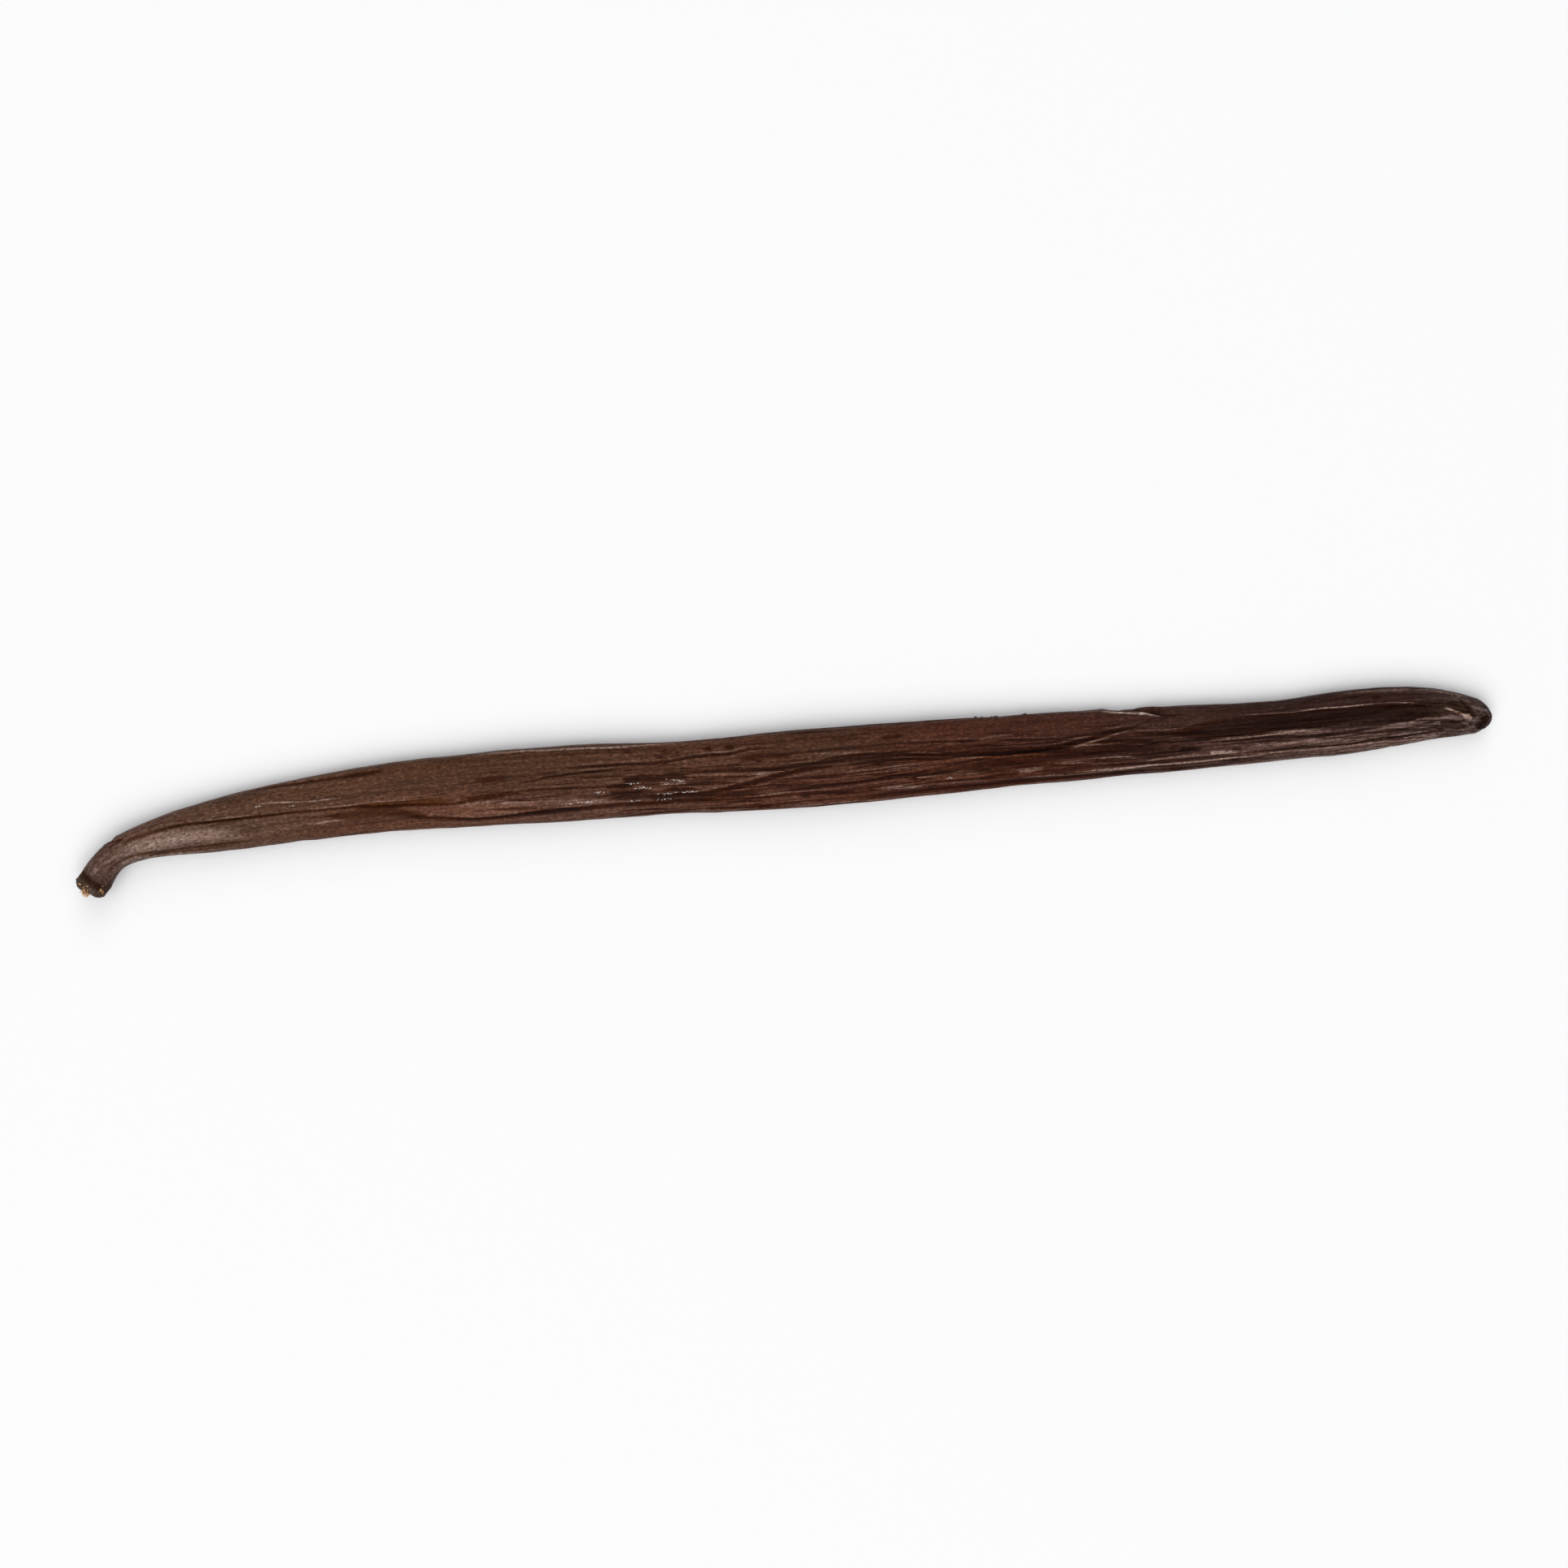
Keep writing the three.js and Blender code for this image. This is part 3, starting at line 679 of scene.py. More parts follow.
# %% Field: node maths that reads like maths
class Field:
    """A value in a node tree. Sums and products with it make Math nodes."""

    def __init__(self, tree, socket):
        self.tree = tree
        self.socket = socket

    def maths(self, operation, *others):
        """A Math node of this operation on this field and others."""
        inputs = dict(enumerate((self,) + others))
        return node(self.tree, "ShaderNodeMath", inputs, operation=operation)[0]

    def __add__(self, other):
        return self.maths("ADD", other)

    def __sub__(self, other):
        return self.maths("SUBTRACT", other)

    def __mul__(self, other):
        return self.maths("MULTIPLY", other)

    def __truediv__(self, other):
        return self.maths("DIVIDE", other)

    __radd__ = __add__
    __rmul__ = __mul__

    def between(self, low, high, new_low=0.0, new_high=1.0, curve="SMOOTHSTEP"):
        """This field moved from the range low..high to new_low..new_high, and kept inside it."""
        inputs = {0: self, 1: low, 2: high, 3: new_low, 4: new_high}
        return node(self.tree, "ShaderNodeMapRange", inputs, interpolation_type=curve)[0]

    def parts(self):
        """The three numbers of a vector."""
        return node(self.tree, "ShaderNodeSeparateXYZ", {0: self})


print("Fields are ready")


# %% Making nodes
def plug(tree, value, target):
    """Gives an input its value: a link from a Field, or a constant."""
    if isinstance(value, Field):
        tree.links.new(value.socket, target)
    else:
        target.default_value = value


def node(tree, kind, inputs=None, **settings):
    """Makes a node, fills its inputs, given by name or number, and returns its outputs as Fields."""
    made = tree.nodes.new(kind)
    for name, value in settings.items():
        setattr(made, name, value)
    for key, value in (inputs or {}).items():
        plug(tree, value, made.inputs[key])
    return [Field(tree, socket) for socket in made.outputs if socket.enabled]


def vector(tree, x, y, z):
    """Three numbers as one vector."""
    return node(tree, "ShaderNodeCombineXYZ", {0: x, 1: y, 2: z})[0]


print("nodes can be made in one line")


# %% Textures that serve geometry and materials
def stretched(tree, place, along_mm, across_mm, drift=0.0):
    """Places for a texture whose features are this long and this wide, nudged aside by drift."""
    along, across, up = place
    return vector(tree, along / along_mm, across / across_mm + drift, up / across_mm + drift)


def noise(tree, where, scale=1.0, detail=2.0, roughness=0.5):
    """Noise from about 0.2 to 0.8 over the places given."""
    inputs = {"Vector": where, "Scale": scale, "Detail": detail, "Roughness": roughness}
    return node(tree, "ShaderNodeTexNoise", inputs)[0]


def furrows(tree, where, thin):
    """Thin lines where a noise passes its middle value: 1 on a line, 0 beside it."""
    level = noise(tree, where) - 0.5
    return level.maths("ABSOLUTE").between(0.0, thin, 1.0, 0.0)


print("textures are ready")

# %% [markdown]
# ## Trees that change a mesh
#
# A Geometry Nodes tree is a recipe: it takes a mesh and some named sizes, and gives back a mesh. The sizes
# are set on the modifier by their sockets' identifiers, before the object is evaluated. The result is then
# kept as a plain mesh and the modifier removed, so that nothing later depends on the recipe.


# %% Trees with named inputs
def new_geometry_tree(name, fields):
    """A Geometry Nodes tree with a geometry in and out, and these named inputs: (name, kind, value)."""
    tree = bpy.data.node_groups.new(name, "GeometryNodeTree")
    tree.interface.new_socket("Geometry", in_out="INPUT", socket_type="NodeSocketGeometry")
    for label, kind, value in fields:
        socket = tree.interface.new_socket(label, in_out="INPUT", socket_type="NodeSocket" + kind)
        if value is not None:
            socket.default_value = value
    tree.interface.new_socket("Geometry", in_out="OUTPUT", socket_type="NodeSocketGeometry")
    given = {f.socket.name: f for f in node(tree, "NodeGroupInput") if f.socket.name}
    return tree, given


def close_tree(tree, geometry, material):
    """Ends a tree: what was repeated becomes one plain mesh and gets its material."""
    made = node(tree, "GeometryNodeRealizeInstances", {"Geometry": geometry})[0]
    made = node(tree, "GeometryNodeSetMaterial", {"Geometry": made, "Material": material})[0]
    node(tree, "NodeGroupOutput", {"Geometry": made})
    print(len(tree.nodes), "nodes in", tree.name)


def apply_tree(thing, tree, values):
    """Runs the tree on an object, with these values for its named inputs, and keeps the plain mesh."""
    modifier = thing.modifiers.new(tree.name, "NODES")
    modifier.node_group = tree
    sockets = {item.name: item.identifier for item in tree.interface.items_tree if item.in_out == "INPUT"}
    for label, value in values.items():
        modifier[sockets[label]] = value
    evaluated = thing.evaluated_get(bpy.context.evaluated_depsgraph_get())
    mesh = bpy.data.meshes.new_from_object(evaluated)
    thing.modifiers.remove(modifier)
    thing.data = mesh


print("trees can be made, closed and applied")


# %% Vectors in a tree
def named_vector(tree, name):
    """A vector that the mesh keeps on its points."""
    return node(tree, "GeometryNodeInputNamedAttribute", {"Name": name}, data_type="FLOAT_VECTOR")[0]


def store_vector(tree, geometry, name, value):
    """The geometry, keeping this vector on its points."""
    inputs = {"Geometry": geometry, "Name": name, "Value": value}
    return node(tree, "GeometryNodeStoreNamedAttribute", inputs, data_type="FLOAT_VECTOR", domain="POINT")[0]


def times(tree, first, factor):
    """A vector times a number."""
    return node(tree, "ShaderNodeVectorMath", {0: first, "Scale": factor}, operation="SCALE")[0]


print("vectors can be read, kept and scaled")

# %% [markdown]
# ## Pressing the creases into the skin
#
# A Repeat zone goes through the chart, one crease at a time. For every point of the skin it measures how
# far that crease is, fetches its marks from the nearest point of the chart, and adds them with a profile:
# strongest in the middle, and a little of the opposite in a lip on both sides, where the skin bunches up.
# The sum is three numbers: relief in mm, shade and warmth. The skin doesn't move yet, so every crease is
# measured on smooth skin.

# %% The part of a tree that reads the chart
LIP_PLACE = 1.6  # lips lie about this many half widths outside the crease, or nearer if it is cut steeply
LIP_STEEPNESS = 1.6


def read_chart(tree, skin, chart_object, count):
    """The skin with the marks of every crease added up in an attribute."""
    along, girth, _ = named_vector(tree, "chart").parts()
    here = vector(tree, along, girth, 0.0)
    lines = node(tree, "GeometryNodeObjectInfo", {"Object": chart_object})[-1]
    start = tree.nodes.new("GeometryNodeRepeatInput")
    stop = tree.nodes.new("GeometryNodeRepeatOutput")
    start.pair_with_output(stop)
    plug(tree, count, start.inputs["Iterations"])
    plug(tree, store_vector(tree, skin, "marks", (0.0, 0.0, 0.0)), start.inputs["Geometry"])
    turn = Field(tree, start.outputs["Iteration"])

    number = node(tree, "GeometryNodeInputNamedAttribute", {"Name": "number"}, data_type="INT")[0]
    chosen = node(tree, "FunctionNodeCompare", {2: number, 3: turn}, data_type="INT", operation="EQUAL")[0]
    crease = node(tree, "GeometryNodeSeparateGeometry", {"Geometry": lines, "Selection": chosen})[0]
    near = {"Geometry": crease, "Sample Position": here}
    distance = node(tree, "GeometryNodeProximity", near, target_element="EDGES")[1]
    nearest = node(tree, "GeometryNodeSampleNearest", near)[0]

    def fetch(name):
        """What the nearest point of this crease keeps under the name."""
        wanted = {"Geometry": crease, "Value": named_vector(tree, name), "Index": nearest}
        return node(tree, "GeometryNodeSampleIndex", wanted, data_type="FLOAT_VECTOR")[0]

    width, sharpness, lip = fetch("reach").parts()
    away = distance / width
    trough = (away.maths("POWER", sharpness) * -1.0).maths("EXPONENT")
    lip_middle = sharpness.maths("POWER", -1.0) * LIP_PLACE + 1.0
    beside = (away - lip_middle) * LIP_STEEPNESS
    lips = (beside * beside * -1.0).maths("EXPONENT") * lip
    added = times(tree, fetch("marks"), trough - lips)
    total = {0: named_vector(tree, "marks"), 1: added}
    total = node(tree, "ShaderNodeVectorMath", total, operation="ADD")[0]
    kept = store_vector(tree, Field(tree, start.outputs["Geometry"]), "marks", total)
    plug(tree, kept, stop.inputs["Geometry"])
    return Field(tree, stop.outputs["Geometry"])


print("the chart can be read")

# %% [markdown]
# ## Wrinkles between the creases
#
# Between the drawn creases the skin is finely wrinkled, like a raisin's but pulled out lengthwise. The
# places where a noise passes its middle value are thin lines, like the height lines on a map. Stretch the
# noise, long along the pod and short across, and the lines run lengthwise, wander a little, and meet at
# shallow angles, just as wrinkles do. All is measured in the straight pod, so that it follows the bend.

# %% The tree that creases the skin: relief
SKIN_INPUTS = [
    ("Chart", "Object", None), ("Creases", "Int", 1), ("Wrinkle Depth", "Float", 0.12),
    ("Wrinkle Length", "Float", 32.0), ("Wrinkle Spacing", "Float", 0.95), ("Lump Height", "Float", 0.06),
    ("Crust Height", "Float", 0.5), ("Skin", "Material", None),
]
WRINKLE_THIN = 0.05  # how far the noise may be off its middle value: more makes wider wrinkles
PATCH_SIZE = (14.0, 1.5)  # mm along and across; wrinkles come in patches
LUMP_SIZE = (6.0, 1.7)
CRUST_SIZE = (0.6, 0.6)
SMOOTH_STEM = (8.0, 80.0, 0.35, 1.0)  # between these mm along, wrinkles grow from this share to that
STEM_CRUST = (2.2, 0.9, 0.0, 1.5)  # and so does the crust, towards both ends
TIP_CRUST = (165.2, 166.4)
CENTRED = 4.0  # brings noise less a half, which is small, to about 1 at its peaks

skin_tree, given = new_geometry_tree("press_creases", SKIN_INPUTS)
creased = read_chart(skin_tree, given["Geometry"], given["Chart"], given["Creases"])
place = named_vector(skin_tree, "straight").parts()
along = place[0]
wrinkle = furrows(skin_tree, stretched(skin_tree, place, given["Wrinkle Length"], given["Wrinkle Spacing"]),
                  WRINKLE_THIN)
patches = noise(skin_tree, stretched(skin_tree, place, *PATCH_SIZE), detail=1.0)
wrinkle = wrinkle * patches.between(0.35, 0.65, -0.15, -1.0) * given["Wrinkle Depth"]
wrinkle = wrinkle * along.between(*SMOOTH_STEM)
lumps = noise(skin_tree, stretched(skin_tree, place, *LUMP_SIZE))
lumps = (lumps - 0.5) * given["Lump Height"] * CENTRED
ends = along.between(*STEM_CRUST) + along.between(*TIP_CRUST)
crumbly = noise(skin_tree, stretched(skin_tree, place, *CRUST_SIZE), detail=3.0, roughness=0.6)
lumps = lumps + (crumbly - 0.5) * ends * given["Crust Height"]
print("wrinkles, lumps and crust are added up")

# %% The tree that creases the skin: moving the points
# A wrinkle's darkening is painted shade, deeper for a deeper wrinkle.
WRINKLE_SHADE = 2.5  # how much a wrinkle darkens the skin, for each mm of its depth

_, _, radius = named_vector(skin_tree, "chart").parts()
drawn, shade, warmth = named_vector(skin_tree, "marks").parts()
relief = (wrinkle + lumps - drawn) * radius * MM
marks = vector(skin_tree, relief, shade - wrinkle * WRINKLE_SHADE, warmth)
creased = store_vector(skin_tree, creased, "marks", marks)
facing = node(skin_tree, "GeometryNodeInputNormal")[0]
stands_out = named_vector(skin_tree, "marks").parts()[0]
push = times(skin_tree, facing, stands_out)
creased = node(skin_tree, "GeometryNodeSetPosition", {"Geometry": creased, "Offset": push})[0]
x, y, z = node(skin_tree, "GeometryNodeInputPosition")[0].parts()
resting = vector(skin_tree, x, y, z.maths("MAXIMUM", 0.0))  # what would sink into the table lies flat on it
creased = node(skin_tree, "GeometryNodeSetPosition", {"Geometry": creased, "Position": resting})[0]
close_tree(skin_tree, creased, given["Skin"])

# %% [markdown]
# ## The colour of the skin
#
# A cured pod isn't one brown. It is greyer and paler at the stem, a warm brown along the body, and nearly
# black towards the tip, where most of the oil is. A colour ramp along the pod does that, one for each side
# of the pod. The -Y half is paler and greyer, partly a painted sheen where that side faces the key lamp,
# and at the stem it holds the painted sheen of a flat facet.

# %% Colours along the pod
PLUS_Y_COLOURS = [  # (along, colour) on the +Y half
    (0, (0.115, 0.086, 0.072)), (2, (0.066, 0.040, 0.031)), (3.4, (0.100, 0.053, 0.040)),
    (8, (0.108, 0.055, 0.038)), (16, (0.090, 0.043, 0.027)), (26, (0.086, 0.038, 0.021)),
    (36, (0.084, 0.035, 0.018)), (50, (0.072, 0.030, 0.015)), (64, (0.072, 0.029, 0.015)),
    (76, (0.077, 0.030, 0.016)), (90, (0.060, 0.0225, 0.0118)), (104, (0.063, 0.019, 0.010)),
    (118, (0.051, 0.016, 0.009)), (130, (0.042, 0.016, 0.011)), (145, (0.027, 0.010, 0.007)),
    (157, (0.025, 0.009, 0.006)), (168, (0.070, 0.047, 0.041)),
]
# the -Y half is paler in part for a painted sheen, and at 8 mm for the sheen of the stem's facet
MINUS_Y_COLOURS_WITH_SHEEN = [  # and on the -Y half
    (0, (0.070, 0.045, 0.035)), (2, (0.055, 0.030, 0.023)), (3.4, (0.088, 0.047, 0.036)),
    (8, (0.155, 0.100, 0.080)), (20, (0.090, 0.044, 0.028)), (34, (0.092, 0.037, 0.020)),
    (46, (0.106, 0.041, 0.022)), (58, (0.086, 0.036, 0.023)), (70, (0.084, 0.034, 0.021)),
    (84, (0.090, 0.032, 0.0183)), (98, (0.073, 0.0225, 0.0112)), (112, (0.061, 0.018, 0.0085)),
    (128, (0.060, 0.024, 0.016)), (138, (0.088, 0.042, 0.032)), (150, (0.094, 0.052, 0.040)),
    (161, (0.096, 0.057, 0.046)), (168, (0.078, 0.050, 0.043)),
]
EDGE_OF_HALVES = (0.8, -1.4)  # mm across, where one half's colour goes over into the other's
print("the skin has", len(PLUS_Y_COLOURS) + len(MINUS_Y_COLOURS_WITH_SHEEN), "colours along it")


# %% Materials, ramps and mixes
def new_material(name):
    """An empty material, and its node tree."""
    made = bpy.data.materials.new(name)
    made.use_nodes = True
    made.node_tree.nodes.clear()
    return made, made.node_tree


def attribute(tree, name):
    """The vector attribute of this name, as its three parts."""
    return node(tree, "ShaderNodeAttribute", attribute_name=name)[1].parts()


def ramp(tree, where, stops):
    """A smooth colour ramp: where is 0..1, and stops are (where, colour)."""
    made = tree.nodes.new("ShaderNodeValToRGB")
    made.color_ramp.interpolation = "EASE"
    while len(made.color_ramp.elements) < len(stops):
        made.color_ramp.elements.new(1.0)
    for element, (place, colour) in zip(made.color_ramp.elements, stops):
        element.position = place
        element.color = (*colour, 1.0)
    plug(tree, where, made.inputs[0])
    return Field(tree, made.outputs[0])


def mix(tree, share, first, second, **settings):
    """Two colours mixed: share 0 is the first, 1 the second."""
    def colour(value):
        """A Field as it is, or a plain colour made opaque."""
        return value if isinstance(value, Field) else (*value, 1.0)
    inputs = {0: share, 6: colour(first), 7: colour(second)}
    return node(tree, "ShaderNodeMix", inputs, data_type="RGBA", **settings)[0]


print("materials can be made, and colours ramped and mixed")

# %% The skin, coloured along the pod
skin, skin_nodes = new_material("pod_skin")
place = attribute(skin_nodes, "straight")
along, across, _ = place


def along_ramp(stops):
    """A colour ramp along the pod."""
    return ramp(skin_nodes, along / LENGTH, [(at / LENGTH, colour) for at, colour in stops])


minus_y_half = across.between(*EDGE_OF_HALVES)
colour = mix(skin_nodes, minus_y_half, along_ramp(PLUS_Y_COLOURS), along_ramp(MINUS_Y_COLOURS_WITH_SHEEN))
print(len(skin_nodes.nodes), "nodes in the skin so far")

# %% [markdown]
# ## Blotches, grain and lines
#
# Over that go the finer things, from broad to fine: oily blotches, pale streaks, the grain, and the
# hair-thin lines. The marks from the chart say where the skin is sunk and darker, with painted shade in its
# creases, where it stands out and is paler, with a painted sheen on its ridges, and where it is warm. Dark
# things are multiplied in, so that a crease keeps the colour of the skin round it. Each texture is as long
# and as wide as the thing it stands for.

# %% Textures of the skin
FEATURES = {  # (mm along, mm across)
    "blotches": (6.0, 1.2), "streaks": (30.0, 0.42), "grain": (0.47, 0.27), "drift": (19.0, 2.4),
    "hairs": (50.0, 0.8), "threads": (24.0, 0.35), "pores": (1.2, 0.22), "oil": (5.0, 0.9),
}
HAIR_THIN = 0.035
THREAD_THIN = 0.05


def feature(name, drift=0.0):
    """Places for the texture of this name."""
    return stretched(skin_nodes, place, *FEATURES[name], drift)


blotches = noise(skin_nodes, feature("blotches"), detail=4.0, roughness=0.6)
streaks = noise(skin_nodes, feature("streaks"), detail=3.0, roughness=0.55)
grain = noise(skin_nodes, feature("grain"), detail=3.0, roughness=0.6)
calm = along.between(8.0, 90.0, 0.3, 1.0) * across.between(0.4, 2.4, 1.0, 0.5)  # few lines near the stem
lined = along.between(60.0, 84.0) * across.between(2.6, 0.6)  # where the lines are thickest on the ground
drift = noise(skin_nodes, feature("drift"), detail=1.0) * 2.0
hairs = furrows(skin_nodes, feature("hairs", drift), HAIR_THIN) * calm
hairs = hairs * (blotches.between(0.38, 0.6, 0.25, 0.8) + lined * 0.3)
threads = furrows(skin_nodes, feature("threads", drift * -1.0), THREAD_THIN) * calm
threads = threads * streaks.between(0.4, 0.6, 0.8, 0.2) * (lined + 0.4)
print(len(FEATURES), "kinds of texture")

# %% Layers of colour
STAIN_WARM = (0.056, 0.0155, 0.0012)
OILY_DARK = (0.026, 0.008, 0.004)
# a pale grey for ridges: their dry skin, with a painted sheen on it
PALE_RIDGE_AND_SHEEN = (0.30, 0.195, 0.155)
# near white: a painted highlight on the brightest ridges and rims
PAINTED_HIGHLIGHT = (0.62, 0.52, 0.47)
# These multiply the colour that is there. The last four darken the creases and fine lines: partly for
# oil and dark skin, partly as painted shade. The darkest also blackens the crust of the tip.
PALER = (2.4, 2.8, 3.1)
WARMER = (0.52, 0.37, 0.22)
GREYER = (0.45, 0.38, 0.33)
DARKER_OIL_AND_SHADE = (0.52, 0.38, 0.33)
DARKEST = (0.3, 0.3, 0.3)

_, shade, warmth = attribute(skin_nodes, "marks")
lines = hairs.maths("MAXIMUM", threads * 0.8).maths("MAXIMUM", shade)
sunk = lines.between(0.3, 0.75) * streaks.between(0.4, 0.7, 1.0, 0.75)
greyer = along.between(116.0, 136.0) * across.between(0.3, -0.5)  # under the channel
layers = [  # (amount, colour, how it is laid on), from the lowest
    (warmth.between(0.0, 1.0, 0.0, 0.9), STAIN_WARM, "MIX"),
    (blotches.between(0.5, 0.8, 0.0, 0.4), OILY_DARK, "MIX"),
    (streaks.between(0.5, 0.72, 0.0, 0.5) * calm, PALER, "MULTIPLY"),
    (streaks.between(0.5, 0.3, 0.0, 0.5), OILY_DARK, "MIX"),
    # ridges: paler dry skin, with a painted sheen
    (shade.between(0.0, -0.9, curve="LINEAR"), PALE_RIDGE_AND_SHEEN, "MIX"),
    # the brightest marks get a painted highlight
    (shade.between(-0.9, -1.5), PAINTED_HIGHLIGHT, "MIX"),
    (grain.between(0.49, 0.32, 0.0, 0.65), OILY_DARK, "MIX"),
    (grain.between(0.51, 0.68, 0.0, 0.5), PALER, "MULTIPLY"),
    # creases and fine lines darken: partly oil and dark skin, partly painted shade
    (lines.between(0.05, 0.4), mix(skin_nodes, greyer, WARMER, GREYER), "MULTIPLY"),
    (sunk, DARKER_OIL_AND_SHADE, "MULTIPLY"),
    (shade.between(0.9, 1.3), DARKEST, "MULTIPLY"),
]
for amount, laid_on, way in layers:
    colour = mix(skin_nodes, amount, colour, laid_on, blend_type=way)
print(len(layers), "layers of colour")

# %% [markdown]
# ## Finish: oily satin, and pores too small to model
#
# The oil on the skin gives broad soft highlights: low roughness here, a little more there. Fine grain and
# hair-thin lines are a bump, because they are smaller than the faces of the mesh. A bump only bends the
# light, which is all that such small relief does at this distance.

# %% Finish of the skin
PORE_DEPTH = 0.08  # depths in mm
GRAIN_DEPTH = 0.05
HAIR_DEPTH = 0.07
THREAD_DEPTH = 0.03
BUMP_STRENGTH = 0.9
ROUGHNESS = (0.28, 0.42)  # where the skin is oily, and where it isn't
GLOSS = 0.05  # how strongly it mirrors what is around it; 0.5 is a shiny plastic


def finish(tree, inputs):
    """The shader of a material, with these inputs."""
    shader = node(tree, "ShaderNodeBsdfPrincipled", inputs)[0]
    node(tree, "ShaderNodeOutputMaterial", {"Surface": shader})
    print(len(tree.nodes), "nodes in the material")


pores = noise(skin_nodes, feature("pores"), detail=5.0, roughness=0.6)
height = pores * PORE_DEPTH + grain * GRAIN_DEPTH - hairs * HAIR_DEPTH - threads * THREAD_DEPTH
bump = {"Height": height, "Strength": BUMP_STRENGTH, "Distance": MM}
bump = node(skin_nodes, "ShaderNodeBump", bump)[0]
oil = noise(skin_nodes, feature("oil"), detail=3.0)
finish(skin_nodes, {
    "Base Color": colour, "Roughness": oil.between(0.3, 0.7, *ROUGHNESS), "Normal": bump,
    "Specular IOR Level": GLOSS,
})

# %% [markdown]
# ## Creasing the pod
#
# Now the tree runs on the smooth pod, with the chart and the skin as its inputs. It is kept as a plain
# mesh, and takes the place of the plainer solid that stood in for it.

# %% Crease the pod
apply_tree(pod, skin_tree, {"Chart": crease_chart, "Creases": CREASE_COUNT, "Skin": skin})
bpy.data.objects.remove(crease_chart)
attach(pod, "root")
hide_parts("vanilla_pod")
print(len(pod.data.polygons), "faces on the creased pod")

# %% [markdown]
# ## Specks: vanillin, crumbs and torn fibres
#
# Three small things make a pod look real from close by. Vanillin, which is what smells, comes out of the
# skin as tiny white needles; here they are scattered where the skin shows its brightest glints, so they
# also stand in for painted highlights. A few dark crumbs stick to the skin. And the stem, which was pulled
# off the vine, ends in pale torn fibres. All three are one rule: a small shape, repeated at random on the
# skin near a few given strokes. So they share one tree, and differ only in its inputs.

# %% The tree that scatters specks
SPECK_INPUTS = [
    ("Strokes", "Object", None), ("Shape", "Object", None), ("Reach", "Float", 0.12),
    ("Per Square Mm", "Float", 35.0), ("Smallest", "Float", 0.12), ("Largest", "Float", 0.42),
    ("Seed", "Int", 7), ("Finish", "Material", None),
]
TILT = (0.35, 0.35, 0.5)  # radians that a speck leans or turns at most
LENGTHWISE = (1.0, 0.0, 0.0)

speck_tree, given = new_geometry_tree("scatter_specks", SPECK_INPUTS)


def chance(low, high, step, kind="FLOAT"):
    """A random value for each speck, from the tree's own seed and the number of the step."""
    inputs = {"Min": low, "Max": high, "Seed": given["Seed"] + float(step)}
    return node(speck_tree, "FunctionNodeRandomValue", inputs, data_type=kind)[0]


along, girth, _ = named_vector(speck_tree, "chart").parts()
lines = node(speck_tree, "GeometryNodeObjectInfo", {"Object": given["Strokes"]})[-1]
near = {"Geometry": lines, "Sample Position": vector(speck_tree, along, girth, 0.0)}
away = node(speck_tree, "GeometryNodeProximity", near, target_element="EDGES")[1] / given["Reach"]
density = (away * away * -1.0).maths("EXPONENT") * given["Per Square Mm"] / (MM * MM)
spread = {"Mesh": given["Geometry"], "Density": density, "Seed": given["Seed"]}
spots, normal, _ = node(speck_tree, "GeometryNodeDistributePointsOnFaces", spread)
upright = node(speck_tree, "FunctionNodeAlignRotationToVector", {"Vector": normal}, axis="Z")[0]
turned = {"Rotation": upright, "Vector": LENGTHWISE}
turned = node(speck_tree, "FunctionNodeAlignRotationToVector", turned, axis="X", pivot_axis="Z")[0]
tilt = chance([-most for most in TILT], TILT, 1, "FLOAT_VECTOR")
turned = {"Rotation": turned, "Rotate By": tilt}
turned = node(speck_tree, "FunctionNodeRotateRotation", turned, rotation_space="LOCAL")[0]
size = chance(given["Smallest"], given["Largest"], 2) * MM
shape = node(speck_tree, "GeometryNodeObjectInfo", {"Object": given["Shape"], "As Instance": True})[-1]
specks = {"Points": spots, "Instance": shape, "Rotation": turned, "Scale": size}
specks = node(speck_tree, "GeometryNodeInstanceOnPoints", specks)[0]
close_tree(speck_tree, specks, given["Finish"])

# %% Shapes of the specks
CROOK = 0.08  # how far a grain's ring is bent out of its plane, with a grain's length as 1
FIBRE_WAIST = 0.1  # how high up a fibre it is thickest


def spindle(name, sides, thickness, stands=False):
    """A grain of length 1 along X, widest in the middle, or a fibre that stands up along Z."""
    angles = 2 * np.pi * np.arange(sides) / sides
    ring = np.column_stack([0 * angles, np.cos(angles), np.sin(angles)]) * thickness / 2
    ring[:, 0] += CROOK * np.cos(2 * angles)
    points = np.vstack([ring, [[-0.5, 0, 0], [0.5, 0, 0]]])
    faces = [(i, (i + 1) % sides, sides + 1) for i in range(sides)]
    faces += [((i + 1) % sides, i, sides) for i in range(sides)]
    if stands:
        points = (points + [0.5, 0, 0])[:, [2, 1, 0]]
        points[:sides, 2] = FIBRE_WAIST
        faces = [face[::-1] for face in faces]  # swapping two axes has turned the shape inside out
    return mesh_object(name, points.tolist(), [], faces)


needle = spindle("needle_shape", 5, 0.2)
crumb = spindle("crumb_shape", 6, 0.9)
fibre = spindle("fibre_shape", 5, 0.3, stands=True)
print("a needle has", len(needle.data.polygons), "faces, a crumb", len(crumb.data.polygons))

# %% Finishes of the specks
SPECKLES = 2500.0  # the scale of a noise whose spots are about 0.4 mm wide


def speck_finish(name, first, second, roughness):
    """A matt finish that varies between two colours."""
    made, tree = new_material(name)
    on_object = node(tree, "ShaderNodeTexCoord")[3]
    tone = mix(tree, noise(tree, on_object, SPECKLES).between(0.35, 0.65), first, second)
    finish(tree, {"Base Color": tone, "Roughness": roughness})
    return made


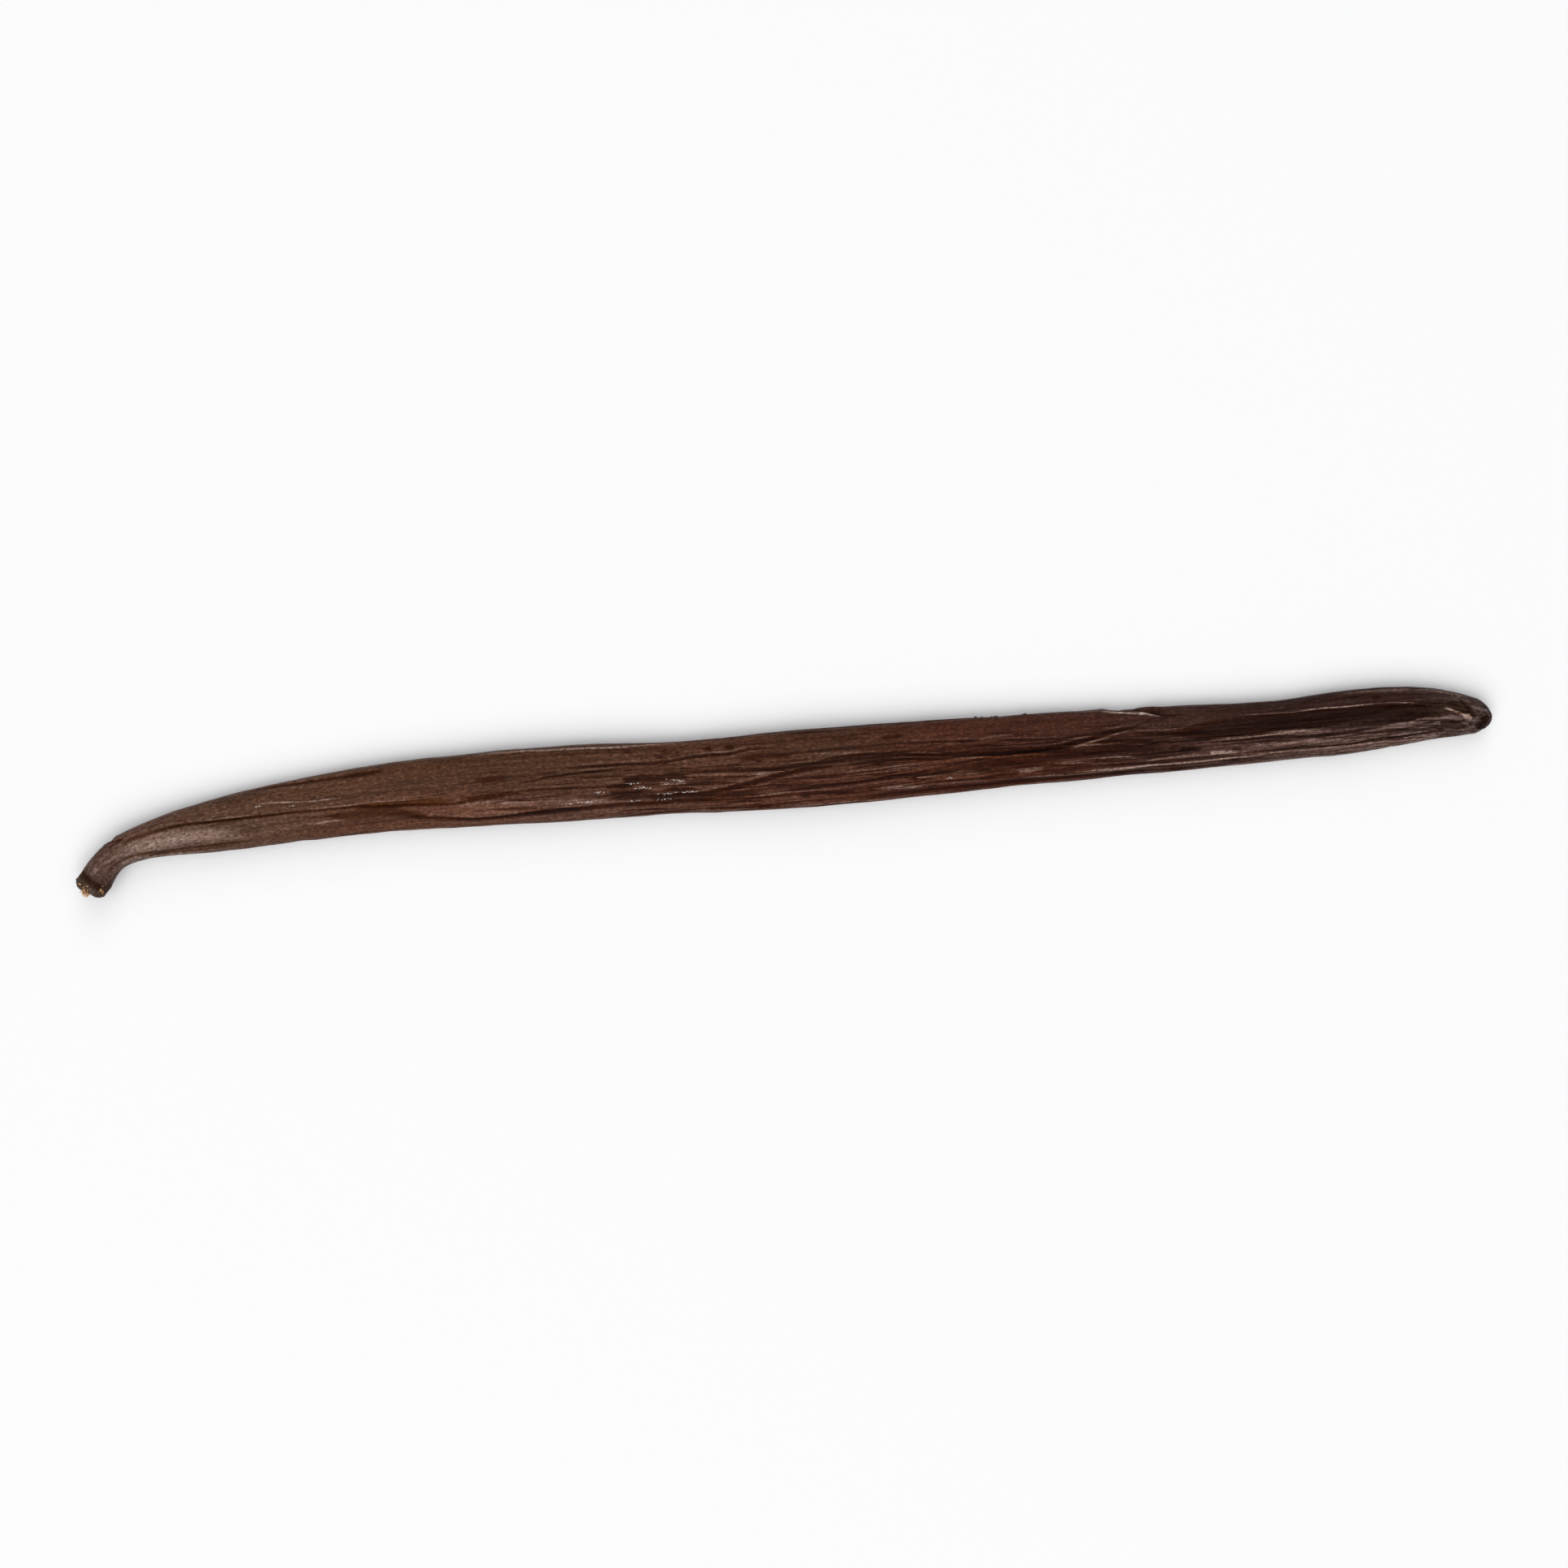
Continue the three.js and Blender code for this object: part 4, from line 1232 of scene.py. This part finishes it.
vanillin = speck_finish("vanillin", (0.55, 0.52, 0.50), (0.88, 0.86, 0.84), 0.35)
dark_crumb = speck_finish("dark_crumb", (0.012, 0.007, 0.005), (0.05, 0.028, 0.018), 0.6)
torn_fibre = speck_finish("torn_fibre", (0.38, 0.17, 0.06), (0.80, 0.52, 0.27), 0.7)

# %% Scatter the specks
# Where each kind shows, as strokes (from along, from across, to along, to across).
# The needles lie on the skin's brightest glints, so they are partly painted highlights.
FROST_AND_GLINTS = [
    (66.8, -0.97, 68.2, -0.85), (67.0, -0.9, 68.0, -0.95), (65.7, -0.28, 67.6, -0.3),
    (68.6, -0.95, 69.1, -0.95), (70.3, -0.7, 70.9, -0.5), (70.9, -0.1, 72.2, -0.15),
    (72.3, -0.25, 72.6, -0.75), (70.0, -1.75, 71.6, -1.75), (72.2, -1.65, 74.0, -1.62),
    (69.4, -2.4, 71.2, -2.32), (66.3, -2.35, 67.1, -2.4), (59.0, -2.3, 59.8, -2.2),
    (60.2, -2.1, 61.7, -2.15), (62.4, -1.1, 63.0, -1.1), (23.0, 1.4, 23.3, 1.42),
    (27.0, 0.75, 27.2, 0.75), (103.7, -2.48, 103.95, -2.45),
]
CRUMBS = [(107.2, 4.26, 107.8, 4.26), (109.7, 4.2, 109.9, 4.2), (112.9, 4.13, 113.1, 4.13)]
TORN = [(0.15, 0.9, 0.2, 0.2), (1.25, -1.35, 1.4, -1.5)]


def scatter(name, strokes, **values):
    """Specks of one kind on the pod, as one piece."""
    points, edges = [], []
    for stroke in strokes:
        along, across = samples([stroke[:2], stroke[2:]])
        add_line(points, edges, along, girth_of_across(along, across))
    drawn_strokes = mesh_object("strokes", points, edges, [])
    made = put_in_scene(name, pod.data)
    values = {label.replace("_", " "): value for label, value in values.items()}
    apply_tree(made, speck_tree, {"Strokes": drawn_strokes, **values})
    bpy.data.objects.remove(drawn_strokes)
    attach(made, "root")
    print(name, "has", len(made.data.polygons), "faces")


scatter("vanillin_needles", FROST_AND_GLINTS, Shape=needle, Finish=vanillin, Reach=0.05, Per_Square_Mm=75.0)
scatter("dark_crumbs", CRUMBS, Shape=crumb, Finish=dark_crumb, Smallest=0.3, Largest=0.55)
scatter("torn_fibres", TORN, Shape=fibre, Finish=torn_fibre, Reach=0.3, Per_Square_Mm=40.0, Smallest=0.3,
        Largest=0.7)
for shape in (needle, crumb, fibre):
    bpy.data.objects.remove(shape)

# %% [markdown]
# ## Floor, light and camera
#
# The pod lies on a white surface under soft light. A dark, oily thing shows what is around it as much as
# its own colour, and a sky that is bright all over would lay a grey veil on it. So the sky is bright only
# in a narrow patch overhead, which also keeps the shadow soft and close to the pod. A large lamp that
# stands high on the -Y side lights the skin, and a weaker one on the +Y side fills in the other flank.

# %% Floor
FLOOR_HALF = 4.0
FLOOR_DROP = 0.00002  # m below the pod's flat underside, so that the two don't show through each other
WHITE = (0.86, 0.862, 0.866, 1)

corners = [(x * FLOOR_HALF, y * FLOOR_HALF, -FLOOR_DROP) for x, y in ((-1, -1), (1, -1), (1, 1), (-1, 1))]
floor = mesh_object("floor", corners, [], [(0, 1, 2, 3)])
white, white_nodes = new_material("white_surface")
finish(white_nodes, {"Base Color": WHITE, "Roughness": 0.8})
floor.data.materials.append(white)
print("floor", 2 * FLOOR_HALF, "m wide")

# %% Sky
SKY = [(0.0, 0.15), (0.5, 0.15), (0.7, 0.3), (0.85, 1.0), (0.95, 2.2), (1.0, 2.6)]  # (height, brightness)
SKY_STRENGTH = 0.83
SKY_BLUE = 1.01

world = bpy.data.worlds.new("soft_sky")
bpy.context.scene.world = world
world.use_nodes = True
sky = world.node_tree
sky.nodes.clear()
_, _, height = node(sky, "ShaderNodeTexCoord")[0].parts()  # 0 at the horizon, 1 overhead
brightness = ramp(sky, height, [(place, (level, level, level * SKY_BLUE)) for place, level in SKY])
background = node(sky, "ShaderNodeBackground", {"Color": brightness, "Strength": SKY_STRENGTH})[0]
node(sky, "ShaderNodeOutputWorld", {"Surface": background})
print("the sky is", SKY[-1][1], "bright overhead and", SKY[0][1], "at the horizon")

# %% Lamps
LAMPS = [  # (name, place, size in m, watts)
    ("key", (-0.4, -1.1, 2.0), 2.2, 29.5),
    ("fill", (0.2, 1.5, 1.3), 1.2, 7.5),
]
for name, place, size, power in LAMPS:
    light = bpy.data.lights.new(name, "AREA")
    light.size = size
    light.energy = power
    lamp = put_in_scene(name, light)
    lamp.location = place
    lamp.rotation_euler = (-Vector(place)).to_track_quat("-Z", "Y").to_euler()  # it shines on the pod
print(len(LAMPS), "lamps")

# %% Camera
CAMERA_PLACE = Vector((-0.0044, 0.0346, 0.450))
LOOKS_AT = Vector((0, 0, 0.002))
ROLL = 4.6  # degrees
SENSOR_WIDTH = 36.0  # mm
FOCAL_LENGTH = 88.0  # mm
NEAREST_SEEN = 0.01  # m

camera_data = bpy.data.cameras.new("camera")
camera_data.sensor_width = SENSOR_WIDTH
camera_data.lens = FOCAL_LENGTH
camera_data.clip_start = NEAREST_SEEN
camera = put_in_scene("camera", camera_data)
backwards = (CAMERA_PLACE - LOOKS_AT).normalized()
right = Vector((0, 1, 0)).cross(backwards).normalized()
turn = Matrix((right, backwards.cross(right), backwards)).transposed().to_4x4()
camera.matrix_world = Matrix.Translation(CAMERA_PLACE) @ turn @ Matrix.Rotation(math.radians(-ROLL), 4, "Z")
bpy.context.scene.camera = camera
bpy.context.scene.view_settings.view_transform = "Standard"
print("camera at", [round(v, 3) for v in camera.location])
